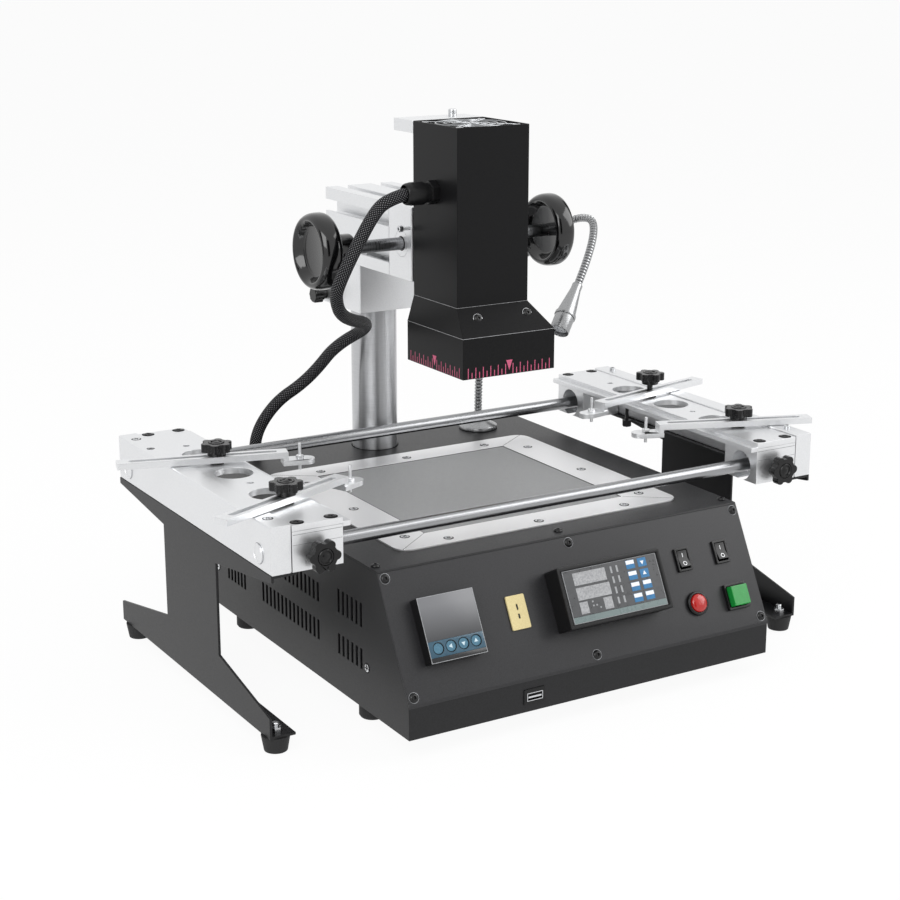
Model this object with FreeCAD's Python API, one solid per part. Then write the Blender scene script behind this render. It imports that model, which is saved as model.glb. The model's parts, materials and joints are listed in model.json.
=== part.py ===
import FreeCAD, Part
import math
import os

# Rework station for ball-grid circuit boards, in millimetres.
# It is drawn with x to the right, y to the back and z up. x = 0 is the middle of
# the console, y = 0 its lower front edge and z = 0 the bench. At the end every
# piece is moved so that the origin is the middle of the whole footprint.

V = FreeCAD.Vector
os.makedirs("parts", exist_ok=True)

# Console: a sheet-metal box with a leaning front panel
console_width = 318.0
console_depth = 375.0
console_lift = 15.2
console_height = 110.4
lip_height = 26.6
panel_run = 44.1
sheet = 1.5
panel_hole_gap = 0.2

# Vents in both sides of the console: first slot, pitch, lower end, upper end
vent_width = 3.0
vent_counts = (15, 9, 6, 6, 6)
vent_rows = ((134.0, 6.8, 45.0, 60.5), (134.0, 6.8, 75.0, 90.0), (263.5, 6.2, 44.0, 56.5),
             (67.0, 6.8, 77.0, 95.0), (67.0, 6.8, 45.0, 60.5))

# Heater window in the console's top
window_half = 88.7
window_front = 98.8
window_to_back = 104.8
mesh_thick = 1.0
mesh_seat = 2.7
trim_thick = 1.4
trim_width_side = 35.8
trim_width_front = 28.0
trim_width_back = 25.0
trim_gap = 0.8
trim_corner = 12.0
tray_depth = 44.0
tray_inset = 1.0
tray_flange = 8.0
element_thick = 10.0
element_gap = 2.4
element_drop = 14.0
element_leg = 6.0
tile_curve = 150.0
tile_dip = 2.5

# Feet
console_foot_radius = 10.0
console_foot_to_edge = 16.0
console_foot_rows = (82.0, 295.0)
frame_foot_radius = 10.5
frame_foot_height = 12.0
frame_foot_rows = (66.0, 320.0)
frame_foot_inset = 8.5

# Small temperature controller, lower left of the panel (u along, v up the slope)
small_unit_to_edge = 42.7
small_unit_v = 46.9
small_unit_width = 46.0
small_unit_height = 47.0
small_unit_proud = 9.5
small_unit_depth = 66.0
key_offset = -14.9
key_pitch = 10.2
key_count = 4
key_v = 33.3
key_radius = 4.0
key_gap = 0.2
key_proud = 0.8
key_length = 3.4
key_travel = 0.6

# Large temperature controller in the middle of the panel
large_unit_u = 18.5
large_unit_v = 47.6
large_unit_width = 92.0
large_unit_height = 45.5
large_unit_proud = 18.0
large_unit_depth = 44.0
unit_neck = 2.0
unit_corner = 1.6
face_recess = 1.0
face_border = 3.0

# Sensor socket and data socket
sensor_u = -56.8
sensor_v = 46.75
sensor_width = 15.6
sensor_height = 24.9
sensor_proud = 1.5
sensor_depth = 14.0
sensor_slots = ((50.5, 4.4), (43.8, 3.4))
sensor_slot_width = 1.2
data_x = -56.0
data_z = 26.9
data_width = 18.0
data_height = 11.8
data_proud = 0.8
data_mouth_width = 12.5
data_mouth_height = 5.1
data_depth = 14.0

# Rocker switches
rockers_to_edge = (63.3, 27.0)
rocker_v = 59.2
rocker_bezel_width = 13.4
rocker_bezel_height = 18.0
rocker_bezel_proud = 2.0
rocker_width = 9.0
rocker_half = 6.4
rocker_side_gap = 0.3
rocker_end_gap = 0.9
rocker_tilt = 8.0
rocker_pin = 0.9
rocker_pin_gap = 0.05
rocker_body_depth = 14.0

# Push buttons
stop_to_edge = 60.8
stop_v = 24.5
stop_ring_radius = 9.25
stop_cap_radius = 7.0
stop_proud = 6.0
start_to_edge = 24.1
start_v = 23.5
start_base = 20.0
start_cap = 15.4
start_proud = 8.0
button_ring_proud = 3.0
button_sink = 4.0
button_gap = 0.25
button_travel = 3.0
button_barrel_depth = 22.0
button_wall = 1.4

# Mains inlet and circuit board
inlet_to_edge = 54.0
inlet_z = 58.0
inlet_width = 48.0
inlet_height = 27.0
inlet_mouth_width = 24.0
inlet_mouth_height = 16.5
inlet_depth = 22.0
inlet_pin = 1.6
board_width = 130.0
board_depth = 70.0
board_thick = 1.6
board_standoff = 8.0
board_back_gap = 26.0

# Column, clamp block and boom
column_to_back = 38.7
column_radius = 19.4
column_wall = 3.0
column_end_gap = 0.5
column_plug_height = 26.0
column_mount_half = 32.0
column_mount_thick = 12.0
clamp_half = 32.0
clamp_reach = 35.3
clamp_depth = 70.0
clamp_lift = 124.4
clamp_height = 40.0
clamp_slit = 2.0
clamp_knob_inset = 61.0
clamp_knob_lift = 7.0
clamp_knob_radius = 7.0
clamp_knob_length = 12.0
clamp_screw_radius = 2.5
sliding_gap = 0.05
boom_reach = 85.3
boom_length = 108.0
boom_height = 58.0
slot_offset = 15.8
slot_mouth = 9.5
slot_lip = 3.0
slot_width = 15.8
slot_depth = 10.5
boom_core_radius = 4.2
key_rib_inset = 3.0
key_rib_length = 20.0

# Pinion, shaft and handwheels: module 1 gearing
pinion_block_depth = 36.0
gear_module = 1.0
pinion_teeth = 18
pressure_angle = 20.0
gear_backlash = 0.3
pinion_inset = 16.0
pinion_lift = 28.0
pinion_half = 5.5
pinion_clear = 0.4
bush_length = 16.0
shaft_radius = 5.0
wheel_inner = 97.0
wheel_hub_radius = 11.5
wheel_hub_length = 20.0
wheel_boss_length = 6.0
wheel_radius = 29.6
wheel_thick = 17.0
wheel_groove_radius = 19.0
wheel_dish_depth = 7.0
wheel_lip = 8.6
wheel_dish_radius = 18.4
shaft_end_cover = 3.0
shaft_end_gap = 0.5

# Heating head
head_half = 31.6
head_gap = 2.6
head_depth = 65.1
head_top = 414.5
hood_half = 40.9
hood_inset = 5.9
hood_depth = 83.2
hood_lift = 105.2
hood_height = 31.1
flare_height = 18.4
head_wall = 1.2
fan_size = 60.0
fan_thick = 15.0
fan_recess = 2.6
fan_bore = 28.0
fan_hub = 12.5
fan_tip_gap = 0.8
fan_blades = 7
fan_blade_angle = 38.0
fan_blade_thick = 1.2
fan_blade_half = 12.0
fan_pin = 1.5
guard_thick = 1.0
guard_rings = (8.0, 14.5, 21.0, 27.5)
guard_wire = 1.4
head_tile = 72.0
head_tile_thick = 10.0
head_tile_lift = 8.0
head_post = 9.0
head_post_radius = 2.5
rail_half = 13.0
rail_neck = 9.5
rail_lip = 2.9
rail_step = 5.6
rail_end_gap = 0.1
rail_gap = 0.08
rack_half = 5.9
cap_half = 32.0
cap_reach = 29.6
cap_thick = 9.5
cap_bolt_x = 14.0
cap_bolt_inset = 12.0
cap_bolt_radius = 3.3
cap_bolt_height = 5.5
gland_drop = 50.5
gland_radius = 8.75
gland_length = 26.4
gland_mouth = 3.0
gland_room = 1.7

# Board frame: rails on brackets, bars between them and two carriages
rail_inner = 222.0
rail_outer = 237.5
frame_front = 48.0
frame_to_back = 51.5
frame_bottom = 135.0
frame_top = 169.5
rail_chamfer = 0.8
bar_radius = 5.0
bar_z = 146.2
bar_inset = 19.0
press_gap = 0.02
bracket_sheet = 2.0
bracket_flange = 20.0
bracket_leg_front = 141.0
bracket_leg_back = 237.0
bracket_shoulder_front = 117.0
bracket_shoulder_back = 119.8
bracket_ankle = 46.5
bracket_toe = 28.0
bracket_foot_front = 57.0
bracket_foot_back = 333.0
bracket_top_drop = 5.0
carriage_gap = 0.5
carriage_width = 39.0
carriage_top = 168.4
carriage_plate = 4.7
ledge_reach = 6.0
ledge_top_drop = 3.2
ledge_thick = 3.8
carriage_hole_radius = 14.5
carriage_hole_rows = (123.0, 183.5, 243.0)
thread_rows = (95.5, 154.5, 213.5, 271.5)
thread_radius = 2.5
end_block_depth = 39.0
end_seat_radius = 11.6
bush_gap = 0.06
bush_setback = 14.0

# Star knobs, arms and board pins
star_radius = 12.0
star_lobes = 6
star_lobe_radius = 3.4
star_thick = 6.5
star_collar_radius = 7.0
star_collar_thick = 3.5
star_stud = 2.4
stud_gap = 0.1
lock_knob_gap = 2.0
bar_touch_gap = 0.3
arm_bottom = 170.0
arm_thick = 4.8
arm_width = 12.0
arm_length = 128.0
arm_slot_start = 9.0
arm_slot_end = 120.0
tip_drop = 5.8
tip_thick = 3.8
tip_length = 21.0
tip_width = 14.0
pin_from_tip = 11.5
pin_radius = 1.2
pin_rise = 12.0
pin_drop = 5.0
pin_nut_radius = 3.2
pin_nut_thick = 2.4
arm_names = ("front_left", "rear_left", "front_right", "rear_right")
arm_sides = (-1, -1, 1, 1)
arm_thread_counts = (0, 2, 0, 2)
arm_angles = (23.0, -16.0, 159.2, 192.2)
arm_outer_lengths = (67.0, 74.5, 60.5, 64.0)
knob_lifts = (0.0, 0.0, 0.0, 5.0)

# Work lamp on a bending neck, whose bends are measured from the base
lamp_to_edge = 53.0
lamp_to_back = 37.0
lamp_base_radius = 17.0
lamp_base_height = 8.0
neck_radius = 3.5
neck_bends = ((0.0, 0.0, 10.4), (0.0, 0.0, 70.4), (18.0, 7.0, 126.4), (62.0, 14.0, 152.4),
              (100.0, 0.0, 183.4), (105.0, -38.0, 181.4), (61.0, -63.0, 132.4))
lamp_tail_radius = 4.6
lamp_mouth_radius = 8.6
lamp_length = 48.0
lamp_ring_start = 30.0
lamp_ring_length = 3.0
lamp_ring_proud = 0.6
lamp_recess = 4.0
lamp_wall = 1.0

# Cable from the head down through the console's top. Its bends are measured from
# the gland's mouth, from the column at the boom's underside and from the grommet.
cable_radius = 5.0
grommet_radius = 10.0
grommet_height = 3.0
cable_to_edge = 56.0
cable_to_back = 15.0
cable_start_gap = 2.1
gland_bends = ((0.0, 0.0, 0.0), (-14.9, 0.2, -3.0), (-24.5, 4.2, -12.6), (-42.5, 6.2, -43.6),
               (-50.7, 10.2, -63.0), (-50.0, 20.2, -76.8), (-36.5, 35.2, -96.9))
column_bends = ((-30.0, -56.3, -45.0), (-49.0, -24.3, -66.5))
grommet_bends = ((45.1, -30.0, 72.0), (34.0, -20.0, 57.4), (18.3, -10.0, 44.4), (6.2, -2.0, 25.4),
                 (0.0, 0.0, 9.0), (0.0, 0.0, 0.0))

# Heights, angles and places that follow from the sizes above
console_half = console_width / 2
console_top = console_lift + console_height
lip_top = console_lift + lip_height
panel_rise = console_top - lip_top
panel_slope = math.degrees(math.atan2(panel_rise, panel_run))
window_back = console_depth - window_to_back
small_unit_u = small_unit_to_edge - console_half
key_first_u = small_unit_u + key_offset
rocker_u = (console_half - rockers_to_edge[0], console_half - rockers_to_edge[1])
stop_u = console_half - stop_to_edge
start_u = console_half - start_to_edge
inlet_x = console_half - inlet_to_edge
console_foot_x = console_half - console_foot_to_edge
column_y = console_depth - column_to_back
frame_back = console_depth - frame_to_back
clamp_front = column_y - clamp_reach
clamp_bottom = console_top + clamp_lift
clamp_knob_y = clamp_front + clamp_knob_inset
clamp_knob_z = clamp_bottom + clamp_knob_lift
key_rib_front = clamp_front + key_rib_inset
boom_front = column_y - boom_reach
boom_bottom = clamp_bottom + clamp_height
boom_top = boom_bottom + boom_height
boom_middle = (boom_bottom + boom_top) / 2
column_top = boom_bottom - column_end_gap
pinion_block_front = boom_front - pinion_block_depth
pinion_y = pinion_block_front + pinion_inset
pinion_z = boom_bottom + pinion_lift
wheel_outer = wheel_inner + wheel_thick
shaft_left = wheel_outer - wheel_dish_depth - shaft_end_cover
shaft_right = wheel_outer + wheel_boss_length - shaft_end_cover
head_back = pinion_block_front - head_gap
head_front = head_back - head_depth
hood_back = head_back - hood_inset
hood_front = hood_back - hood_depth
hood_bottom = console_top + hood_lift
hood_top = hood_bottom + hood_height
head_shoulder = hood_top + flare_height
fan_y = (head_front + head_back) / 2
cap_bottom = head_top - cap_thick
cap_back = head_back + cap_reach
cap_bolt_y = cap_back - cap_bolt_inset
rail_bottom = hood_top + rail_end_gap
gland_y = fan_y
gland_z = head_top - gland_drop
pitch_radius = gear_module * pinion_teeth / 2
tip_radius = pitch_radius + gear_module
root_radius = pitch_radius - 1.25 * gear_module
rack_pitch_y = pinion_y - pitch_radius
rack_tip_y = rack_pitch_y + gear_module
rack_root_y = rack_pitch_y - 1.25 * gear_module
carriage_outer = rail_inner - carriage_gap
carriage_inner = carriage_outer - carriage_width
carriage_middle = (carriage_outer + carriage_inner) / 2
plate_bottom = carriage_top - carriage_plate
bar_rows = (frame_front + bar_inset, frame_back - bar_inset)
bush_outer_radius = end_seat_radius - bush_gap
lamp_x = console_half - lamp_to_edge
lamp_y = console_depth - lamp_to_back
neck_route = [(lamp_x + x, lamp_y + y, console_top + z) for x, y, z in neck_bends]
cable_x = cable_to_edge - console_half
cable_y = console_depth - cable_to_back
cable_start_x = gland_mouth - head_half - gland_length - cable_start_gap
grommet_top = console_top + grommet_height
cable_route = [(cable_start_x + x, gland_y + y, gland_z + z) for x, y, z in gland_bends]
cable_route += [(x, column_y + y, boom_bottom + z) for x, y, z in column_bends]
cable_route += [(cable_x + x, cable_y + y, grommet_top + z) for x, y, z in grommet_bends]

nodes = {}


def keep(name, *solids):
    """Adds solids to the node of that name."""
    nodes.setdefault(name, []).extend(solids)


def box(x0, x1, y0, y1, z0, z1):
    return Part.makeBox(x1 - x0, y1 - y0, z1 - z0, V(x0, y0, z0))


def rod(start, direction, radius, length):
    return Part.makeCylinder(radius, length, start, direction)


def prism(points, direction):
    """A closed outline of points pushed along a direction."""
    return Part.Face(Part.makePolygon(points + points[:1])).extrude(direction)


def along_x(outline, x0, x1):
    return prism([V(x0, y, z) for y, z in outline], V(x1 - x0, 0, 0))


def along_y(outline, y0, y1):
    return prism([V(x, y0, z) for x, z in outline], V(0, y1 - y0, 0))


def along_z(outline, z0, z1):
    return prism([V(x, y, z0) for x, y in outline], V(0, 0, z1 - z0))


def turned(outline, start, direction):
    """An outline of (distance along the axis, radius) turned about that axis."""
    face = Part.Face(Part.makePolygon([V(r, 0, a) for a, r in outline + outline[:1]]))
    solid = face.revolve(V(0, 0, 0), V(0, 0, 1), 360)
    solid.Placement = FreeCAD.Placement(start, FreeCAD.Rotation(V(0, 0, 1), direction))
    return solid


def mirrored(solid):
    return solid.mirror(V(0, 0, 0), V(1, 0, 0))


def both_sides(solid):
    return [solid, mirrored(solid)]


def on_panel(solid):
    """Sets a solid drawn as (u along, v up the slope, w out) onto the panel."""
    solid.Placement = FreeCAD.Placement(
        V(0, 0, lip_top), FreeCAD.Rotation(V(1, 0, 0), panel_slope)).multiply(solid.Placement)
    return solid


def panel_box(u, v, width, height, w0, w1):
    """A block centred at (u, v), from depth w0 to w1, in the panel's own frame."""
    return box(u - width / 2, u + width / 2, v - height / 2, v + height / 2, w0, w1)


def upright_edges(solid, direction):
    """The straight edges that run along a direction."""
    found = []
    for edge in solid.Edges:
        line = edge.lastVertex().Point - edge.firstVertex().Point
        if line.Length > 1e-6 and line.cross(direction).Length < 1e-6 * line.Length:
            found.append(edge)
    return found


def rounded(solid, radius, direction):
    return solid.makeFillet(radius, upright_edges(solid, direction))


def bent_tube(route, radius):
    """A tube along straight runs joined by the largest arcs that the runs allow."""
    points = [V(*p) for p in route]
    edges = []
    radii = []
    last = points[0]
    for before, corner, after in zip(points, points[1:], points[2:]):
        arrive = (corner - before).normalize()
        leave = (after - corner).normalize()
        half_turn = arrive.getAngle(leave) / 2
        back = 0.45 * min((corner - before).Length, (after - corner).Length)
        radii.append(back / math.tan(half_turn))
        first = corner - arrive * back
        end = corner + leave * back
        middle_way = (leave - arrive).normalize()
        middle = corner + middle_way * (radii[-1] / math.cos(half_turn) - radii[-1])
        edges.append(Part.LineSegment(last, first).toShape())
        edges.append(Part.Arc(first, middle, end).toShape())
        last = end
    edges.append(Part.LineSegment(last, points[-1]).toShape())
    path = Part.Wire(edges)
    ring = Part.Circle(points[0], points[1] - points[0], radius).toShape()
    tube = path.makePipeShell([Part.Wire([ring])], True, True)
    return tube, path.Length, radii


# Console box, top plate and front panel
def console_outline(inset):
    """The side view of the console, as (y, z)."""
    return [(inset, console_lift + inset), (inset, lip_top), (panel_run, console_top),
            (console_depth - inset, console_top), (console_depth - inset, console_lift + inset)]


def panel_slab():
    """Everything outside the underside of the leaning panel."""
    slab = box(-console_width, console_width, -console_depth, console_depth, -sheet, console_depth)
    return on_panel(slab)


def top_slab():
    return box(-console_width, console_width, 0, console_depth,
               console_top - sheet, console_top + sheet)


def side_vents():
    """All slots of one side wall, cut right through both side walls."""
    slots = []
    for count, (first, pitch, low, high) in zip(vent_counts, vent_rows):
        for n in range(count):
            y = first + n * pitch
            slots.append(box(-console_width, console_width, y, y + vent_width, low, high))
    return Part.makeCompound(slots)


def console():
    body = along_x(console_outline(0), -console_half, console_half)
    panel = body.common(panel_slab()).cut(top_slab())
    top = body.common(top_slab())
    inside = box(-console_half + sheet, console_half - sheet, sheet, console_depth - sheet,
                 console_lift + sheet, console_top + sheet)
    shell = body.cut(inside).cut(panel_slab()).cut(top_slab()).cut(side_vents())
    shell = shell.cut(box(data_x - data_width / 2 + 1, data_x + data_width / 2 - 1, -sheet,
                          2 * sheet, data_z - data_height / 2 + 1, data_z + data_height / 2 - 1))
    shell = shell.cut(box(inlet_x - inlet_width / 2 + 2, inlet_x + inlet_width / 2 - 2,
                          console_depth - 2 * sheet, console_depth + sheet,
                          inlet_z - inlet_height / 2 + 2, inlet_z + inlet_height / 2 - 2))
    keep("console_shell", shell)

    window = box(-window_half + mesh_seat, window_half - mesh_seat, window_front + mesh_seat,
                 window_back - mesh_seat, console_top - 2 * sheet, console_top + sheet)
    top = top.cut(window)
    top = top.cut(rod(V(0, column_y, 0), V(0, 0, 1), column_radius - column_wall, column_top))
    top = top.cut(rod(V(cable_x, cable_y, 0), V(0, 0, 1), cable_radius + 1, column_top))
    keep("top_plate", top)

    for u, v, width, height in panel_holes():
        panel = panel.cut(on_panel(panel_box(u, v, width, height, -2 * sheet, sheet)))
    stop_hole = rod(V(stop_u, stop_v, -2 * sheet), V(0, 0, 1), stop_barrel() + panel_hole_gap,
                    3 * sheet)
    keep("front_panel", panel.cut(on_panel(stop_hole)))


def panel_holes():
    """The square cut-outs of the panel: centre, width and height."""
    start_hole = start_cap + 2 * (button_gap + button_wall)
    holes = [(small_unit_u, small_unit_v, small_unit_width - 2 * unit_neck,
              small_unit_height - 2 * unit_neck),
             (large_unit_u, large_unit_v, large_unit_width - 2 * unit_neck,
              large_unit_height - 2 * unit_neck),
             (sensor_u, sensor_v, sensor_width - 2, sensor_height - 2),
             (start_u, start_v, start_hole, start_hole)]
    for u in rocker_u:
        holes.append((u, rocker_v, rocker_bezel_width - 1, rocker_bezel_height - 1))
    return [(u, v, w + 2 * panel_hole_gap, h + 2 * panel_hole_gap) for u, v, w, h in holes]


def stop_barrel():
    return stop_cap_radius + button_gap + button_wall - 0.75


# What is fixed in the front panel
def controller_case(u, v, width, height, proud, depth):
    """A case with a rounded bezel and a recessed face, that goes in through the panel."""
    bezel = rounded(panel_box(u, v, width, height, 0, proud), unit_corner, V(0, 0, 1))
    face = panel_box(u, v, width - 2 * face_border, height - 2 * face_border,
                     proud - face_recess, proud + 1)
    case = panel_box(u, v, width - 2 * unit_neck, height - 2 * unit_neck, -depth, 0)
    return bezel.cut(face).fuse(case)


def key_places():
    return [key_first_u + n * key_pitch for n in range(key_count)]


def controllers():
    small = controller_case(small_unit_u, small_unit_v, small_unit_width, small_unit_height,
                            small_unit_proud, small_unit_depth)
    face = small_unit_proud - face_recess
    floor = face + key_proud - key_length - key_travel - key_gap
    for u in key_places():
        small = small.cut(rod(V(u, key_v, floor), V(0, 0, 1), key_radius + key_gap, key_length * 3))
    keep("lower_controller", on_panel(small))
    for n, u in enumerate(key_places()):
        key = rod(V(u, key_v, face + key_proud - key_length), V(0, 0, 1), key_radius, key_length)
        key = key.makeChamfer(0.3, [key.Edges[0]])
        keep("controller_key_%d" % (n + 1), on_panel(key))
    large = controller_case(large_unit_u, large_unit_v, large_unit_width, large_unit_height,
                            large_unit_proud, large_unit_depth)
    keep("upper_controller", on_panel(large))


def sockets():
    socket = rounded(panel_box(sensor_u, sensor_v, sensor_width, sensor_height, 0, sensor_proud),
                     1.0, V(0, 0, 1))
    socket = socket.fuse(panel_box(sensor_u, sensor_v, sensor_width - 2, sensor_height - 2,
                                   -sensor_depth, 0))
    for v, height in sensor_slots:
        socket = socket.cut(panel_box(sensor_u, v, sensor_slot_width, height,
                                      -sensor_depth + 2, sensor_proud + 1))
    keep("sensor_socket", on_panel(socket))

    x0 = data_x - data_width / 2
    z0 = data_z - data_height / 2
    surround = box(x0, x0 + data_width, -data_proud, 0, z0, z0 + data_height)
    surround = rounded(surround, 1.2, V(0, 1, 0))
    inner = box(x0 + 1.2, x0 + data_width - 1.2, 0, data_depth, z0 + 1.2, z0 + data_height - 1.2)
    mouth = box(data_x - data_mouth_width / 2, data_x + data_mouth_width / 2, -1, data_depth - 2,
                data_z - data_mouth_height / 2, data_z + data_mouth_height / 2)
    tongue = box(data_x - data_mouth_width / 2 + 0.7, data_x + data_mouth_width / 2 - 0.7, 0.6,
                 data_depth - 1, data_z - 0.1, data_z + 1.7)
    keep("data_socket", surround.fuse(inner).cut(mouth).fuse(tongue))

    back = console_depth
    flange = box(inlet_x - inlet_width / 2, inlet_x + inlet_width / 2, back, back + 3,
                 inlet_z - inlet_height / 2, inlet_z + inlet_height / 2)
    flange = rounded(flange, 4.0, V(0, 1, 0))
    case = box(inlet_x - inlet_width / 2 + 2.2, inlet_x + inlet_width / 2 - 2.2, back - inlet_depth,
               back, inlet_z - inlet_height / 2 + 2.2, inlet_z + inlet_height / 2 - 2.2)
    mouth = box(inlet_x - inlet_mouth_width / 2, inlet_x + inlet_mouth_width / 2,
                back - inlet_depth + 3, back + 4,
                inlet_z - inlet_mouth_height / 2, inlet_z + inlet_mouth_height / 2)
    inlet = flange.fuse(case).cut(mouth)
    for dx, dz in ((-7, -2), (0, 3), (7, -2)):
        inlet = inlet.fuse(box(inlet_x + dx - inlet_pin, inlet_x + dx + inlet_pin,
                               back - inlet_depth + 2, back - 4, inlet_z + dz - 1, inlet_z + dz + 1))
    keep("mains_inlet", inlet)


def rocker_shape(u):
    """A rocker in the panel's frame, lying level about its pivot at w = -1."""
    outline = [(-rocker_half, 2.6), (0, 1.4), (rocker_half, 2.6), (rocker_half - 0.4, -3),
               (-rocker_half + 0.4, -3)]
    wing = prism([V(u - rocker_width / 2, rocker_v + v, w) for v, w in outline],
                 V(rocker_width, 0, 0))
    pin = rod(V(u - rocker_width / 2 - 1, rocker_v, -1), V(1, 0, 0), rocker_pin, rocker_width + 2)
    return wing.fuse(pin)


def switches():
    frames = []
    for name, u in zip(("lighting_rocker", "fan_rocker"), rocker_u):
        frame = rounded(panel_box(u, rocker_v, rocker_bezel_width, rocker_bezel_height, 0,
                                  rocker_bezel_proud), 1.0, V(0, 0, 1))
        frame = frame.fuse(panel_box(u, rocker_v, rocker_bezel_width - 1, rocker_bezel_height - 1,
                                     -rocker_body_depth, 0))
        frame = frame.cut(panel_box(u, rocker_v, rocker_width + 2 * rocker_side_gap,
                                    2 * (rocker_half + rocker_end_gap), -5.4, 5))
        frame = frame.cut(rod(V(u - rocker_width / 2 - 1.1, rocker_v, -1), V(1, 0, 0),
                              rocker_pin + rocker_pin_gap, rocker_width + 2.2))
        frames.append(on_panel(frame))
        rocker = rocker_shape(u)
        rocker.rotate(V(u, rocker_v, -1), V(1, 0, 0), -rocker_tilt)
        keep(name, on_panel(rocker))
    keep("switch_bodies", *frames)

    bore = stop_cap_radius + button_gap
    floor = -button_sink - button_travel - 1
    housing = turned([(-button_barrel_depth, 0), (-button_barrel_depth, stop_barrel()),
                      (0, stop_barrel()), (0, stop_ring_radius),
                      (button_ring_proud - 0.8, stop_ring_radius),
                      (button_ring_proud, stop_ring_radius - 0.8), (button_ring_proud, bore),
                      (floor, bore), (floor, 0)], V(stop_u, stop_v, 0), V(0, 0, 1))
    cap = turned([(-button_sink, 0), (-button_sink, stop_cap_radius),
                  (stop_proud - 2.6, stop_cap_radius), (stop_proud - 1.4, stop_cap_radius - 0.7),
                  (stop_proud - 0.5, stop_cap_radius - 2.4), (stop_proud, stop_cap_radius - 5.0),
                  (stop_proud, 0)], V(stop_u, stop_v, 0), V(0, 0, 1))
    keep("stop_button", on_panel(cap))

    well = start_cap + 2 * button_gap
    barrel = well + 2 * button_wall
    base = panel_box(start_u, start_v, start_base, start_base, 0, button_ring_proud)
    base = rounded(base, 1.2, V(0, 0, 1))
    base = base.fuse(panel_box(start_u, start_v, barrel, barrel, -button_barrel_depth, 0))
    base = base.cut(panel_box(start_u, start_v, well, well, floor, start_proud))
    keep("switch_bodies", on_panel(housing), on_panel(base))
    cap = panel_box(start_u, start_v, start_cap, start_cap, -button_sink, start_proud)
    cap = rounded(cap, 0.8, V(0, 0, 1))
    keep("start_button", on_panel(cap))


# Heater window, tray and ceramic elements
def heater():
    half_in = window_half + trim_gap
    front_in = window_front - trim_gap
    back_in = window_back + trim_gap
    half_out = half_in + trim_width_side
    front_out = front_in - trim_width_front
    back_out = back_in + trim_width_back
    z0 = console_top
    z1 = console_top + trim_thick
    outer = rounded(box(-half_out, half_out, front_out, back_out, z0, z1), trim_corner, V(0, 0, 1))
    seam = 0.15
    front = along_z([(-half_out, front_out), (half_out, front_out), (half_in, front_in),
                     (-half_in, front_in)], z0, z1)
    back = along_z([(-half_out, back_out), (half_out, back_out), (half_in, back_in),
                    (-half_in, back_in)], z0, z1)
    side = along_z([(half_in, front_in + seam), (half_out, front_out + seam),
                    (half_out, back_out - seam), (half_in, back_in - seam)], z0, z1)
    keep("heater_trim", outer.common(front), outer.common(back), *both_sides(outer.common(side)))

    keep("heater_mesh", box(-window_half, window_half, window_front, window_back,
                            console_top, console_top + mesh_thick))

    under = console_top - sheet
    half = window_half - mesh_seat - tray_inset
    front = window_front + mesh_seat + tray_inset
    back = window_back - mesh_seat - tray_inset
    tray = box(-half, half, front, back, under - tray_depth, under)
    tray = tray.fuse(box(-half - tray_flange, half + tray_flange, front - tray_flange,
                         back + tray_flange, under - sheet, under))
    tray = tray.cut(box(-half + sheet, half - sheet, front + sheet, back - sheet,
                        under - tray_depth + sheet, under + sheet))
    keep("heater_tray", tray)

    top = under - element_drop + element_thick / 2
    floor = under - tray_depth + sheet
    span_x = half - sheet - element_gap
    span_y = (back - front) / 2 - sheet - element_gap
    middle = (front + back) / 2
    tiles = []
    for sx in (-1, 1):
        for sy in (-1, 1):
            cx = sx * (span_x + element_gap / 2) / 2
            cy = middle + sy * (span_y + element_gap / 2) / 2
            wide = span_x - element_gap
            deep = span_y - element_gap
            tile = box(cx - wide / 2, cx + wide / 2, cy - deep / 2, cy + deep / 2,
                       top - element_thick, top)
            hollow = rod(V(cx, cy - deep, top + 2 * wide), V(0, 1, 0), 2 * wide + tile_dip,
                         2 * deep)
            leg = rod(V(cx, cy, floor), V(0, 0, 1), element_leg, top - element_thick - floor)
            tiles.append(tile.cut(hollow).fuse(leg))
    keep("heater_elements", *tiles)


def inside_console():
    x0 = -board_width / 2
    y1 = console_depth - board_back_gap
    y0 = y1 - board_depth
    floor = console_lift + sheet
    z0 = floor + board_standoff
    board = box(x0, x0 + board_width, y0, y1, z0, z0 + board_thick)
    for dx in (6, board_width - 6):
        for dy in (6, board_depth - 6):
            board = board.fuse(rod(V(x0 + dx, y0 + dy, floor), V(0, 0, 1), 3, board_standoff))
    top = z0 + board_thick
    parts = [(12, 44, 12, 52, 30), (52, 66, 10, 30, 18), (52, 66, 36, 56, 18), (78, 90, 12, 58, 26),
             (98, 122, 12, 30, 12), (98, 122, 40, 58, 12)]
    for px0, px1, py0, py1, height in parts:
        board = board.fuse(box(x0 + px0, x0 + px1, y0 + py0, y0 + py1, top, top + height))
    keep("power_board", board)


def feet():
    foot = [(0, 0), (0, console_foot_radius * 0.86), (2, console_foot_radius),
            (console_lift, console_foot_radius), (console_lift, 0)]
    for y in console_foot_rows:
        keep("rubber_feet", *both_sides(turned(foot, V(console_foot_x, y, 0), V(0, 0, 1))))
    foot = [(0, 0), (0, frame_foot_radius * 0.8), (frame_foot_height, frame_foot_radius),
            (frame_foot_height, 0)]
    x = rail_outer - frame_foot_inset
    for y in frame_foot_rows:
        keep("rubber_feet", *both_sides(turned(foot, V(x, y, 0), V(0, 0, 1))))


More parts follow.
